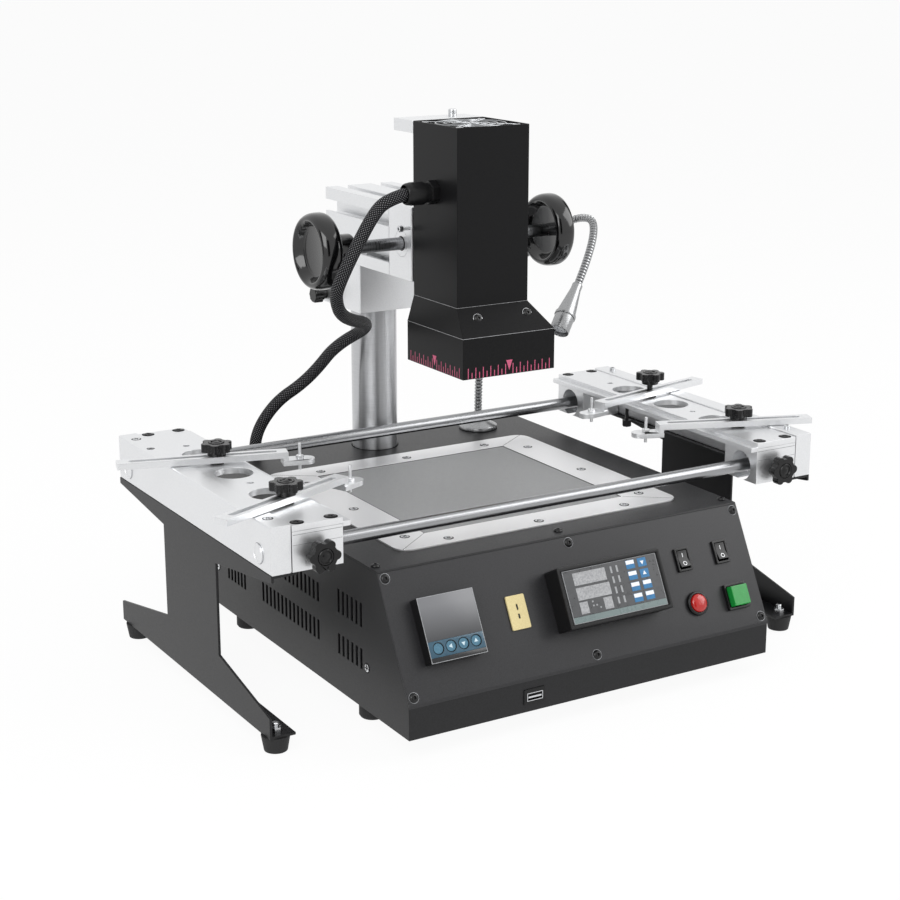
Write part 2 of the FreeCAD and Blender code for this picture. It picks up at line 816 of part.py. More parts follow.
# Column, clamp block and boom
def column():
    inner = column_radius - column_wall
    tube = rod(V(0, column_y, console_top), V(0, 0, 1), column_radius, column_top - console_top)
    tube = tube.cut(rod(V(0, column_y, 0), V(0, 0, 1), inner, column_top + 1))
    keep("column", tube)
    under = console_top - sheet
    mount = box(-column_mount_half, column_mount_half, column_y - column_mount_half,
                column_y + column_mount_half, under - column_mount_thick, under)
    plug = rod(V(0, column_y, under), V(0, 0, 1), inner - press_gap, sheet + column_plug_height)
    keep("column_mount", mount.fuse(plug))


def slot_cutter(width_gap):
    """A T-slot's section as (offset across, depth in), with room taken off all round."""
    mouth = slot_mouth / 2 - width_gap
    wide = slot_width / 2 - width_gap
    return [(-mouth, -1), (mouth, -1), (mouth, slot_lip + width_gap), (wide, slot_lip + width_gap),
            (wide, slot_depth - 2 - width_gap), (wide - 2, slot_depth - width_gap),
            (-wide + 2, slot_depth - width_gap), (-wide, slot_depth - 2 - width_gap),
            (-wide, slot_lip + width_gap), (-mouth, slot_lip + width_gap)]


def boom():
    y1 = boom_front + boom_length
    beam = box(-clamp_half, clamp_half, boom_front, y1, boom_bottom, boom_top)
    for offset in (-slot_offset, slot_offset):
        low = [(offset + a, boom_bottom + d) for a, d in slot_cutter(0)]
        high = [(offset + a, boom_top - d) for a, d in slot_cutter(0)]
        side = boom_middle + offset * boom_height / 2 / clamp_half
        left = [(-clamp_half + d, side - a) for a, d in slot_cutter(0)]
        right = [(-x, z) for x, z in left]
        for outline in (low, high, left, right):
            beam = beam.cut(along_y(outline, boom_front - 1, y1 + 1))
    beam = beam.cut(rod(V(0, boom_front - 1, boom_middle), V(0, 1, 0), boom_core_radius, boom_length + 2))
    keep("boom", beam)


def clamp():
    back = clamp_front + clamp_depth
    block = box(-clamp_half, clamp_half, clamp_front, back, clamp_bottom, boom_bottom)
    block = block.makeChamfer(1.0, upright_edges(block, V(0, 0, 1)))
    bore = column_radius + sliding_gap
    block = block.cut(rod(V(0, column_y, 0), V(0, 0, 1), bore, boom_bottom + 1))
    block = block.cut(box(-clamp_slit / 2, clamp_slit / 2, column_y, back + 1, 0, boom_bottom + 1))
    place = V(-clamp_half, clamp_knob_y, clamp_knob_z)
    block = block.cut(rod(place, V(1, 0, 0), clamp_screw_radius + stud_gap, 1.6 * clamp_half))
    for offset in (-slot_offset, slot_offset):
        outline = [(offset + a, boom_bottom + max(d, 0)) for a, d in slot_cutter(stud_gap)]
        rib = along_y(outline, key_rib_front, key_rib_front + key_rib_length)
        block = block.fuse(rib)
    keep("clamp_block", block)
    start = V(-clamp_half - clamp_knob_length - 0.5, clamp_knob_y, clamp_knob_z)
    head = turned([(0, 0), (0, clamp_knob_radius - 1), (1, clamp_knob_radius),
                   (clamp_knob_length - 4, clamp_knob_radius), (clamp_knob_length - 4, 4.5),
                   (clamp_knob_length, 4.5), (clamp_knob_length, clamp_screw_radius),
                   (clamp_knob_length + 1.5 * clamp_half, clamp_screw_radius),
                   (clamp_knob_length + 1.5 * clamp_half, 0)], start, V(1, 0, 0))
    for n in range(8):
        turn = math.radians(45 * n)
        groove = V(start.x - 1, start.y + (clamp_knob_radius + 0.7) * math.cos(turn),
                   start.z + (clamp_knob_radius + 0.7) * math.sin(turn))
        head = head.cut(rod(groove, V(1, 0, 0), 1.6, clamp_knob_length - 2))
    keep("clamp_knob", head)


# Rack and pinion that raise the head
def involute_angle(radius, base):
    """The turn of an involute from its start to a radius, in radians."""
    roll = math.sqrt((radius / base) ** 2 - 1)
    return roll - math.atan(roll)


def pinion():
    base = pitch_radius * math.cos(math.radians(pressure_angle))
    half_tooth = math.pi / 2 / pinion_teeth - gear_backlash / 4 / pitch_radius
    at_pitch = half_tooth + involute_angle(pitch_radius, base)
    steps = 4
    flank = []
    for n in range(steps + 1):
        radius = max(base, root_radius) + (tip_radius - max(base, root_radius)) * n / steps
        flank.append((radius, at_pitch - involute_angle(radius, base)))
    flank.insert(0, (root_radius - 0.02, flank[0][1]))
    outline = []
    for tooth in range(pinion_teeth):
        centre = (tooth + 0.5) * 2 * math.pi / pinion_teeth
        for radius, half in flank:
            outline.append((radius, centre - half))
        for radius, half in reversed(flank):
            outline.append((radius, centre + half))
    points = []
    for r, a in outline:
        points.append(V(-pinion_half, pinion_y - r * math.cos(a), pinion_z + r * math.sin(a)))
    return prism(points, V(2 * pinion_half, 0, 0))


def rack_outline(tooth_thinning):
    """The rack's teeth as (y, z) over the rail's length, with a space level with the pinion."""
    pitch = math.pi * gear_module
    lean = math.tan(math.radians(pressure_angle))
    half_tip = pitch / 4 - gear_module * lean - tooth_thinning
    half_root = pitch / 4 + 1.25 * gear_module * lean - tooth_thinning
    first = math.ceil((rail_bottom + pitch - pinion_z) / pitch)
    last = math.floor((cap_bottom - pitch - pinion_z) / pitch)
    outline = [(rack_root_y - 1, rail_bottom), (rack_root_y, rail_bottom)]
    for n in range(first, last + 1):
        z = pinion_z + n * pitch
        outline += [(rack_root_y, z - half_root), (rack_tip_y, z - half_tip),
                    (rack_tip_y, z + half_tip), (rack_root_y, z + half_root)]
    return outline + [(rack_root_y, cap_bottom), (rack_root_y - 1, cap_bottom)]


def rail_section(room):
    """The dovetail rail behind the head, seen from above, as (x, y)."""
    y0 = head_back - (5 if room else 0)
    return [(-rail_neck - room, y0), (rail_neck + room, y0),
            (rail_neck + room, head_back + rail_lip - room), (rail_half + room, head_back + rail_step),
            (rail_half + room, rack_root_y + room), (-rail_half - room, rack_root_y + room),
            (-rail_half - room, head_back + rail_step),
            (-rail_neck - room, head_back + rail_lip - room)]


def pinion_parts():
    block = box(-clamp_half, clamp_half, pinion_block_front, boom_front, boom_bottom, boom_top)
    block = block.makeChamfer(0.6, upright_edges(block, V(0, 0, 1)))
    block = block.cut(along_z(rail_section(rail_gap), boom_bottom - 1, boom_top + 1))
    block = block.cut(box(-rack_half - 0.4, rack_half + 0.4, pinion_block_front, rack_tip_y + 0.3,
                          boom_bottom - 1, boom_top + 1))
    bore = tip_radius + pinion_clear
    axis = V(-clamp_half - 1, pinion_y, pinion_z)
    block = block.cut(rod(axis, V(1, 0, 0), bore, 2 * clamp_half + 2))
    bush = turned([(0, shaft_radius + sliding_gap), (0, bore - press_gap),
                   (bush_length, bore - press_gap), (bush_length, shaft_radius + sliding_gap)],
                  V(clamp_half - bush_length, pinion_y, pinion_z), V(1, 0, 0))
    keep("pinion_block", block, *both_sides(bush))

    shaft = rod(V(-shaft_left, pinion_y, pinion_z), V(1, 0, 0), shaft_radius,
                shaft_left + shaft_right)
    keep("pinion_shaft", shaft.fuse(pinion()))
    # Both wheels have their dish to the left; the shaft ends inside the left one's web
    # and goes through the right one's dish into its boss
    blind = wheel_thick - wheel_dish_depth - shaft_end_cover + shaft_end_gap
    left = wheel_form(wheel_hub_length) + [(blind, 0), (blind, shaft_radius)]
    left.append((-wheel_hub_length, shaft_radius))
    blind = shaft_end_cover - shaft_end_gap - wheel_boss_length
    right = wheel_form(wheel_boss_length)
    right[-1] = (right[-1][0], shaft_radius)
    right += [(blind, shaft_radius), (blind, 0), (-wheel_boss_length, 0)]
    keep("handwheels", turned(left, V(-wheel_inner, pinion_y, pinion_z), V(-1, 0, 0)),
         turned(right, V(wheel_outer, pinion_y, pinion_z), V(-1, 0, 0)))


def wheel_form(hub_length):
    """The outside of a wheel from its hub's end round the rim to the dish, as (along, radius)."""
    hub = wheel_hub_radius
    rim = wheel_radius
    thick = wheel_thick
    floor = thick - wheel_dish_depth
    return [(-hub_length, hub - 1), (1 - hub_length, hub), (0, hub), (1, wheel_groove_radius),
            (0, rim - 4), (0.4, rim - 2.4), (1.5, rim - 1), (3.2, rim - 0.3), (5, rim),
            (thick - 7, rim - 0.3), (thick - 4, rim - 1.4), (thick - 1.6, rim - 3.4),
            (thick - 0.4, rim - 5.4), (thick, rim - 7), (thick - 0.4, rim - wheel_lip),
            (floor + 1.5, wheel_dish_radius), (floor, wheel_dish_radius - 2), (floor, 0)]


# Heating head
def square_wire(half, front, back, z):
    return Part.makePolygon([V(-half, front, z), V(half, front, z), V(half, back, z),
                             V(-half, back, z), V(-half, front, z)])


def head_form(inset):
    """The head's outside, or its inside when inset by the wall."""
    upper = box(-head_half + inset, head_half - inset, head_front + inset, head_back - inset,
                head_shoulder, head_top)
    lower = box(-hood_half + inset, hood_half - inset, hood_front + inset, hood_back - inset,
                hood_bottom, hood_top)
    flare = Part.makeLoft([square_wire(hood_half - inset, hood_front + inset, hood_back - inset,
                                       hood_top),
                           square_wire(head_half - inset, head_front + inset, head_back - inset,
                                       head_shoulder)], True, True)
    return upper.fuse(flare).fuse(lower)


def head():
    fan_top = head_top - fan_recess
    fan_bottom = fan_top - fan_thick
    shelf = box(-head_half + head_wall, head_half - head_wall, head_front + head_wall,
                head_back - head_wall, fan_bottom - 2, fan_bottom)
    shelf = shelf.cut(rod(V(0, fan_y, 0), V(0, 0, 1), fan_bore, head_top))
    housing = head_form(0).cut(head_form(head_wall))
    inner = head_half - head_wall
    housing = housing.cut(box(-inner, inner, head_front + head_wall, head_back - head_wall,
                              head_top - 1, head_top + 1))
    hood_inner = hood_half - head_wall
    housing = housing.cut(box(-hood_inner, hood_inner, hood_front + head_wall, hood_back - head_wall,
                              hood_bottom - 1, hood_bottom + 1))
    keep("head_housing", housing.fuse(shelf))

    side = fan_size / 2
    frame = box(-side, side, fan_y - side, fan_y + side, fan_bottom, fan_top)
    frame = rounded(frame, 3.0, V(0, 0, 1))
    frame = frame.cut(rod(V(0, fan_y, fan_bottom + 3), V(0, 0, 1), fan_bore, fan_thick))
    frame = frame.cut(rod(V(0, fan_y, fan_bottom - 1), V(0, 0, 1), fan_bore, 6).cut(
        rod(V(0, fan_y, fan_bottom - 1), V(0, 0, 1), fan_hub, 6)).cut(
        box(-side, side, fan_y - 2, fan_y + 2, fan_bottom - 1, fan_bottom + 5)).cut(
        box(-2, 2, fan_y - side, fan_y + side, fan_bottom - 1, fan_bottom + 5)))
    frame = frame.cut(rod(V(0, fan_y, fan_bottom + 1), V(0, 0, 1), fan_pin + sliding_gap, fan_thick))
    guard = []
    for radius in guard_rings:
        ring = rod(V(0, fan_y, fan_top), V(0, 0, 1), radius, guard_thick)
        guard.append(ring.cut(rod(V(0, fan_y, fan_top), V(0, 0, 1), radius - guard_wire, guard_thick)))
    reach = fan_size / 2 * 1.2
    for turn in (45, 135):
        bar = box(-reach, reach, -guard_wire / 2, guard_wire / 2, fan_top, fan_top + guard_thick)
        bar.rotate(V(0, 0, 0), V(0, 0, 1), turn)
        bar.translate(V(0, fan_y, 0))
        guard.append(bar)
    keep("fan_frame", frame, guard[0].fuse(guard[1:]).removeSplitter())

    z0 = fan_bottom + 4
    z1 = fan_top - 1
    hub = rod(V(0, fan_y, z0), V(0, 0, 1), fan_hub, z1 - z0)
    hub = hub.fuse(rod(V(0, fan_y, fan_bottom + 1.5), V(0, 0, 1), fan_pin, 4))
    swept = rod(V(0, fan_y, z0), V(0, 0, 1), fan_bore - fan_tip_gap, z1 - z0)
    blades = []
    for n in range(fan_blades):
        blade = box(fan_hub - 1.5, fan_bore, -fan_blade_thick / 2, fan_blade_thick / 2,
                    -fan_blade_half, fan_blade_half)
        blade.rotate(V(0, 0, 0), V(1, 0, 0), fan_blade_angle)
        blade.translate(V(0, 0, (z0 + z1) / 2))
        blade.rotate(V(0, 0, 0), V(0, 0, 1), 360.0 * n / fan_blades)
        blade.translate(V(0, fan_y, 0))
        blades.append(blade.common(swept))
    keep("fan_rotor", hub.fuse(blades).removeSplitter())

    middle = (hood_front + hood_back) / 2
    bottom = hood_bottom + head_tile_lift
    side = head_tile / 2
    tile = box(-side, side, middle - side, middle + side, bottom, bottom + head_tile_thick)
    hollow = rod(V(0, middle - head_tile, bottom - tile_curve), V(0, 1, 0), tile_curve + tile_dip,
                 2 * head_tile)
    tile = tile.cut(hollow)
    bracket_z = bottom + head_tile_thick + head_post
    for sx in (-1, 1):
        for sy in (-1, 1):
            tile = tile.fuse(rod(V(sx * side * 0.7, middle + sy * side * 0.7, bottom + 6), V(0, 0, 1),
                                 head_post_radius, head_tile_thick + head_post - 6))
    room = hood_half - head_wall
    bracket = box(-room, room, middle - side, middle + side, bracket_z, bracket_z + head_wall)
    bracket = bracket.cut(box(-side * 0.5, side * 0.5, middle - side * 0.5, middle + side * 0.5,
                              bracket_z - 1, bracket_z + 2))
    keep("head_heater", tile.fuse(bracket))

    rail = along_z(rail_section(0), rail_bottom, cap_bottom)
    teeth = along_x(rack_outline(gear_backlash / 4), -rack_half, rack_half)
    keep("head_rail", rail.fuse(teeth).removeSplitter())
    cap = box(-cap_half, cap_half, head_back, cap_back, cap_bottom, head_top)
    cap = rounded(cap, 1.0, V(0, 0, 1))
    bolt = turned([(0, 0), (0, cap_bolt_radius), (cap_bolt_height - 0.6, cap_bolt_radius),
                   (cap_bolt_height, cap_bolt_radius - 0.6), (cap_bolt_height, 0)],
                  V(cap_bolt_x, cap_bolt_y, head_top), V(0, 0, 1))
    keep("head_cap", cap, bolt)

    nut = []
    for n in range(6):
        turn = math.radians(60 * n + 30)
        nut.append(V(-head_half, gland_y + gland_radius * 1.06 * math.cos(turn),
                     gland_z + gland_radius * 1.06 * math.sin(turn)))
    gland = prism(nut, V(-6, 0, 0))
    room = cable_radius + gland_room
    body = [(5, 0), (5, gland_radius - 1.2), (11, gland_radius - 1.2), (11, gland_radius),
            (gland_length - 5, gland_radius), (gland_length - 1.5, gland_radius - 0.6),
            (gland_length, gland_radius - 1.4), (gland_length, room),
            (gland_length - gland_mouth, room), (gland_length - gland_mouth, 0)]
    gland = gland.fuse(turned(body, V(-head_half, gland_y, gland_z), V(-1, 0, 0)))
    keep("head_gland", gland)


# Cable and lamp
def cable():
    tube, length, radii = bent_tube(cable_route, cable_radius)
    expected = math.pi * cable_radius ** 2 * length
    print("cable length %.1f, volume over section times length %.4f, radii %s"
          % (length, tube.Volume / expected, " ".join("%.0f" % r for r in radii)))
    keep("head_cable", tube)
    ring = turned([(0, cable_radius - 0.6), (0, grommet_radius), (grommet_height - 1, grommet_radius),
                   (grommet_height, grommet_radius - 1.4), (grommet_height, cable_radius - 0.6)],
                  V(cable_x, cable_y, console_top), V(0, 0, 1))
    keep("cable_grommet", ring)


def lamp():
    base = turned([(0, 0), (0, lamp_base_radius), (lamp_base_height * 0.4, lamp_base_radius),
                   (lamp_base_height, lamp_base_radius * 0.45),
                   (neck_route[0][2] - console_top, lamp_tail_radius),
                   (neck_route[0][2] - console_top, 0)], V(lamp_x, lamp_y, console_top), V(0, 0, 1))
    keep("lamp_base", base)
    tube, length, radii = bent_tube(neck_route, neck_radius)
    print("neck length %.1f, radii %s" % (length, " ".join("%.0f" % r for r in radii)))
    keep("lamp_neck", tube)
    start = V(*neck_route[-1])
    direction = (V(*neck_route[-1]) - V(*neck_route[-2])).normalize()
    ring = lamp_mouth_radius + lamp_ring_proud
    ring_end = lamp_ring_start + lamp_ring_length
    shade = turned([(0, 0), (0, lamp_tail_radius), (4, lamp_tail_radius),
                    (lamp_ring_start, lamp_mouth_radius), (lamp_ring_start, ring), (ring_end, ring),
                    (ring_end, lamp_mouth_radius), (lamp_length, lamp_mouth_radius),
                    (lamp_length, lamp_mouth_radius - lamp_wall),
                    (lamp_length - lamp_recess, lamp_mouth_radius - lamp_wall),
                    (lamp_length - lamp_recess, 0)], start, direction)
    keep("lamp_head", shade)


# Board frame
def brackets():
    top = frame_bottom
    low = top - bracket_top_drop
    foot = frame_foot_height
    outline = [(frame_front, top), (frame_back + 1.5, top), (frame_back + 1.5, low),
               (bracket_leg_back, bracket_shoulder_back), (bracket_leg_back, bracket_ankle),
               (bracket_foot_back, bracket_toe), (bracket_foot_back, foot), (bracket_foot_front, foot),
               (bracket_foot_front, bracket_toe), (bracket_leg_front, bracket_ankle),
               (bracket_leg_front, bracket_shoulder_front), (frame_front, low)]
    web = along_x(outline, rail_outer - bracket_sheet, rail_outer)
    shelf = box(rail_outer - bracket_flange, rail_outer, frame_front, frame_back + 1.5,
                top - bracket_sheet, top)
    sole = box(rail_outer - bracket_flange, rail_outer, bracket_foot_front, bracket_foot_back,
               foot, foot + bracket_sheet)
    keep("side_brackets", *both_sides(web.fuse(shelf).fuse(sole).removeSplitter()))


def rails():
    rail = box(rail_inner, rail_outer, frame_front, frame_back, frame_bottom, frame_top)
    rail = rail.makeChamfer(rail_chamfer, upright_edges(rail, V(0, 1, 0)))
    for y in bar_rows:
        rail = rail.cut(rod(V(0, y, bar_z), V(1, 0, 0), bar_radius + press_gap, console_width))
    keep("outer_rails", *both_sides(rail))
    for y in bar_rows:
        keep("guide_bars", rod(V(-rail_outer, y, bar_z), V(1, 0, 0), bar_radius, 2 * rail_outer))


def carriage():
    """One carriage plate and its two end blocks, for the right-hand side."""
    ledge_top = carriage_top - ledge_top_drop
    ledge_low = ledge_top - ledge_thick
    ledge_edge = carriage_inner - ledge_reach
    section = [(carriage_outer, carriage_top), (carriage_inner, carriage_top),
               (carriage_inner, ledge_top), (ledge_edge, ledge_top), (ledge_edge, ledge_low),
               (carriage_inner, ledge_low), (carriage_inner, plate_bottom),
               (carriage_outer, plate_bottom)]
    plate = along_y(section, frame_front, frame_back)
    for y in carriage_hole_rows:
        plate = plate.cut(rod(V(carriage_middle, y, 0), V(0, 0, 1), carriage_hole_radius,
                              carriage_top + 1))
    for y in thread_rows:
        plate = plate.cut(rod(V(carriage_middle, y, 0), V(0, 0, 1), thread_radius,
                              carriage_top + 1))
    blocks = []
    for bar_y, side in zip(bar_rows, (-1, 1)):
        y0 = frame_front if side < 0 else frame_back - end_block_depth
        block = box(carriage_inner, carriage_outer, y0, y0 + end_block_depth, frame_bottom,
                    plate_bottom)
        axis = V(carriage_inner - 1, bar_y, bar_z)
        block = block.cut(rod(axis, V(1, 0, 0), end_seat_radius, carriage_width + 2))
        bush = rod(V(carriage_inner + bush_setback, bar_y, bar_z), V(1, 0, 0), bush_outer_radius,
                   carriage_width - bush_setback - 1)
        bush = bush.cut(rod(axis, V(1, 0, 0), bar_radius + sliding_gap, carriage_width + 2))
        bush = bush.cut(box(carriage_inner, carriage_outer, bar_y - end_block_depth,
                            bar_y + end_block_depth, 0, frame_bottom))
        if side < 0:
            hole = rod(V(carriage_middle, frame_front - 1, bar_z), V(0, 1, 0), star_stud + stud_gap,
                       bar_inset)
            block = block.cut(hole)
            bush = bush.cut(hole)
        blocks += [block, bush]
    return plate, blocks


def star_head():
    """A six-lobed knob with its collar below, standing on z = 0 and pointing up."""
    low = star_collar_thick
    head = Part.makeCylinder(star_radius - star_lobe_radius * 0.75, star_thick, V(0, 0, low))
    lobes = []
    for n in range(star_lobes):
        turn = 2 * math.pi * n / star_lobes
        reach = star_radius - star_lobe_radius
        lobes.append(Part.makeCylinder(star_lobe_radius, star_thick,
                                       V(reach * math.cos(turn), reach * math.sin(turn), low)))
    head = head.fuse(lobes).removeSplitter()
    dish = Part.makeCylinder(star_collar_radius - 1, 2, V(0, 0, low + star_thick - 1))
    return head.cut(dish).fuse(Part.makeCylinder(star_collar_radius, star_collar_thick))


def placed(solid, place, direction):
    solid.Placement = FreeCAD.Placement(place, FreeCAD.Rotation(V(0, 0, 1), direction))
    return solid


def carriages():
    plate, blocks = carriage()
    reach = bar_inset - bar_radius - bar_touch_gap + lock_knob_gap
    stud = Part.makeCylinder(star_stud, reach, V(0, 0, -reach))
    knob = placed(star_head().fuse(stud), V(carriage_middle, frame_front - lock_knob_gap, bar_z),
                  V(0, -1, 0))
    keep("carriage_left", mirrored(plate))
    keep("end_blocks_left", *[mirrored(block) for block in blocks])
    keep("lock_knob_left", mirrored(knob))
    keep("carriage_right", plate)
    keep("end_blocks_right", *blocks)
    keep("lock_knob_right", knob)


def arm_shape(stud_to_end):
    """An arm drawn along +x with the stud of its knob at the origin."""
    x0 = -stud_to_end
    top = arm_bottom + arm_thick
    bar = box(x0, x0 + arm_length, -arm_width / 2, arm_width / 2, arm_bottom, top)
    half = star_stud + stud_gap
    first = x0 + arm_slot_start + half
    last = x0 + arm_slot_end - half
    low = arm_bottom - 1
    slot = box(first, last, -half, half, low, top + 1)
    slot = slot.fuse([rod(V(first, 0, low), V(0, 0, 1), half, arm_thick + 2),
                      rod(V(last, 0, low), V(0, 0, 1), half, arm_thick + 2)])
    tip_top = arm_bottom - tip_drop + tip_thick
    t0 = x0 + arm_length - 4
    t1 = x0 + arm_length + tip_length - tip_width / 2
    tip = box(t0, t1, -tip_width / 2, tip_width / 2, tip_top - tip_thick, tip_top)
    tip = tip.fuse(rod(V(t1, 0, tip_top - tip_thick), V(0, 0, 1), tip_width / 2, tip_thick))
    heel = box(t0, t0 + 4, -arm_width / 2, arm_width / 2, tip_top - tip_thick, arm_bottom)
    arm = bar.cut(slot).fuse(heel).fuse(tip)
    pin_x = x0 + arm_length + tip_length - pin_from_tip
    arm = arm.cut(rod(V(pin_x, 0, 0), V(0, 0, 1), pin_radius, 2 * arm_bottom))
    pin = rod(V(pin_x, 0, tip_top - tip_thick - pin_drop), V(0, 0, 1), pin_radius,
              tip_thick + pin_drop + pin_rise)
    nut = [V(pin_x + pin_nut_radius * math.cos(math.radians(60 * n)),
             pin_nut_radius * math.sin(math.radians(60 * n)), tip_top) for n in range(6)]
    pin = pin.fuse(prism(nut, V(0, 0, pin_nut_thick)))
    return arm, pin


def board_arms():
    for name, side, row, angle, stud_to_end, lift in zip(arm_names, arm_sides, arm_thread_counts, arm_angles,
                                                         arm_outer_lengths, knob_lifts):
        x = side * carriage_middle
        y = thread_rows[row]
        arm, pin = arm_shape(stud_to_end)
        turn = FreeCAD.Placement(V(x, y, 0), FreeCAD.Rotation(V(0, 0, 1), angle))
        for solid in (arm, pin):
            solid.Placement = turn.multiply(solid.Placement)
        keep("arm_" + name, arm, pin)
        seat = arm_bottom + arm_thick + lift
        low = plate_bottom + 0.5
        stud = Part.makeCylinder(star_stud, seat - low, V(0, 0, low - seat))
        spacer = Part.makeCylinder(star_collar_radius - 1.5, arm_bottom - carriage_top,
                                   V(0, 0, carriage_top - seat))
        knob = star_head().fuse(stud).fuse(spacer)
        knob.rotate(V(0, 0, 0), V(0, 0, 1), angle + 14)
        knob.translate(V(x, y, seat))
        keep("knob_" + name, knob)
        tip = turn.multVec(V(-stud_to_end + arm_length + tip_length - pin_from_tip, 0, arm_bottom))
        print("arm %s: knob %.2f %.2f, pin %.2f %.2f" % (name, x, y, tip.x, tip.y))


console()
controllers()
sockets()
switches()
heater()
inside_console()
feet()
column()
clamp()
boom()
pinion_parts()
head()
cable()
lamp()
brackets()
rails()
carriages()
board_arms()

# The origin is the middle of the footprint, on the bench, of all but the free cable
whole = FreeCAD.BoundBox()
for name, solids in nodes.items():
    if name != "head_cable":
        for solid in solids:
            whole.add(solid.BoundBox)
shift = V(-whole.Center.x, -whole.Center.y, -whole.ZMin)
print("shift %.4f %.4f %.4f size %.2f %.2f %.2f"
      % (shift.x, shift.y, shift.z, whole.XLength, whole.YLength, whole.ZLength))
for name, solids in nodes.items():
    solid = solids[0] if len(solids) == 1 else Part.makeCompound(solids)
    solid.translate(shift)
    solid.exportStep("parts/%s.step" % name)
print("nodes", len(nodes))
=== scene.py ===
import bpy
import json
import math
from mathutils import Euler, Matrix, Vector
from mathutils.bvhtree import BVHTree

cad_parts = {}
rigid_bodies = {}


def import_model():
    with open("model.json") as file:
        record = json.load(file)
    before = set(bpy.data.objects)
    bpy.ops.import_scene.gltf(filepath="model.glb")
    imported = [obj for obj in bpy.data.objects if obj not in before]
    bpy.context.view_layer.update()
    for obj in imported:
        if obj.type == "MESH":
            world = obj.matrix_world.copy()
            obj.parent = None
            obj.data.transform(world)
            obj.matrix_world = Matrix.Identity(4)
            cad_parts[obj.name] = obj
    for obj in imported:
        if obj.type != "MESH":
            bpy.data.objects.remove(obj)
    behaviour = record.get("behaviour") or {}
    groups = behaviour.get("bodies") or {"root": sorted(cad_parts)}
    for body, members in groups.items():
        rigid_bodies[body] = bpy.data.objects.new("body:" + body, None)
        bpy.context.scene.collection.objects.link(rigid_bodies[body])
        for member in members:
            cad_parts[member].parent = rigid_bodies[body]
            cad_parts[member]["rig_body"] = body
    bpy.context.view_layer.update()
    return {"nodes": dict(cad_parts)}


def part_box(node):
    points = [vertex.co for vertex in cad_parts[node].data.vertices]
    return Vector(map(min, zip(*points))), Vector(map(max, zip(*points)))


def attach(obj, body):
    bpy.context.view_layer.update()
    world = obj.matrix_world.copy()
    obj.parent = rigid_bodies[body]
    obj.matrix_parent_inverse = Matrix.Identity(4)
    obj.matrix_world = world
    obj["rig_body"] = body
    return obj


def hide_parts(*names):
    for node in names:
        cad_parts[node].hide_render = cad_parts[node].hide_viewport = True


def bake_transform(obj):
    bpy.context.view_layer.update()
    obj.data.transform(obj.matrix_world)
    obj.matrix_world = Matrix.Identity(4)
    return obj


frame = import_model()

# Where things stand. Sizes are read off the machine in millimetres, from the middle of the
# console's lower front edge: x to the right, y to the back and z up from the bench.
console_low, console_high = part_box("console_shell")
console_middle = Vector(((console_low.x + console_high.x) / 2, console_low.y, 0))


def place(x, y, z):
    return Vector((x, y, z)) / 1000 + console_middle


# The camera stands left of the machine and a little above it, with a long lens.
bpy.ops.object.camera_add(
    location=place(-735.9, -1015.5, 550.0),
    rotation=Euler((math.radians(90 - 15.61), 0, math.radians(-30.98))))
camera = bpy.context.object
camera.data.sensor_width = 36.0
camera.data.lens = 73.66
camera.data.clip_start = 0.05
camera.data.clip_end = 60.0
bpy.context.scene.camera = camera
bpy.context.scene.view_settings.view_transform = "Standard"


# Bench and studio: a white sweep under the machine, a broad soft lamp on each side and one
# overhead, and dark cards that give the polished metal its dark lines.
def paint(code):
    """A colour written as sRGB hex, turned to linear light."""
    shares = [int(code[n:n + 2], 16) / 255 for n in (1, 3, 5)]
    return tuple(s / 12.92 if s <= 0.04045 else ((s + 0.055) / 1.055) ** 2.4 for s in shares) + (1,)


def add(tree, kind, links=(), **settings):
    """Adds a node. Links are (socket here, node there, its socket); settings are properties or sockets."""
    made = tree.nodes.new(kind)
    sockets = settings.pop("set", {})
    for name, value in settings.items():
        setattr(made, name, value)
    for name, value in sockets.items():
        made.inputs[name].default_value = value
    for here, other, there in links:
        tree.links.new(other.outputs[there], made.inputs[here])
    return made


def clear_tree(owner):
    owner.use_nodes = True
    owner.node_tree.nodes.clear()
    return owner.node_tree


def nothing_selected():
    if bpy.context.mode != "OBJECT":
        bpy.ops.object.mode_set(mode="OBJECT")
    bpy.ops.object.select_all(action="DESELECT")


def straight_rays(tree):
    """One for what is seen straight, in a mirror or through glass, and nought for stray light."""
    seen = add(tree, "ShaderNodeLightPath")
    mirrored = add(tree, "ShaderNodeMath", [(0, seen, "Is Camera Ray"), (1, seen, "Is Glossy Ray")],
                   operation="MAXIMUM")
    return add(tree, "ShaderNodeMath", [(0, mirrored, 0), (1, seen, "Is Transmission Ray")],
               operation="MAXIMUM")


nothing_selected()
bpy.ops.mesh.primitive_plane_add(size=40, location=(0, 0, -0.0004))
bench = bpy.context.object
bench.name = "bench"
bench_paper = bpy.data.materials.new("white paper sweep")
tree = clear_tree(bench_paper)
share = add(tree, "ShaderNodeMath", [(0, straight_rays(tree), 0)], operation="MULTIPLY", set={1: 0.94})
lit = add(tree, "ShaderNodeBsdfDiffuse", set={"Color": paint("#f6f6f6")})
white = add(tree, "ShaderNodeEmission", set={"Color": (1, 1, 1, 1)})
both = add(tree, "ShaderNodeMixShader", [(0, share, 0), (1, lit, 0), (2, white, 0)])
add(tree, "ShaderNodeOutputMaterial", [("Surface", both, 0)])
bench.data.materials.append(bench_paper)

world = bpy.data.worlds.new("white room")
bpy.context.scene.world = world
tree = clear_tree(world)
dim = add(tree, "ShaderNodeBackground", set={"Color": (1, 1, 1, 1), "Strength": 0.45})
white = add(tree, "ShaderNodeBackground", set={"Color": (1, 1, 1, 1)})
both = add(tree, "ShaderNodeMixShader", [(0, straight_rays(tree), 0), (1, dim, 0), (2, white, 0)])
add(tree, "ShaderNodeOutputWorld", [("Surface", both, 0)])

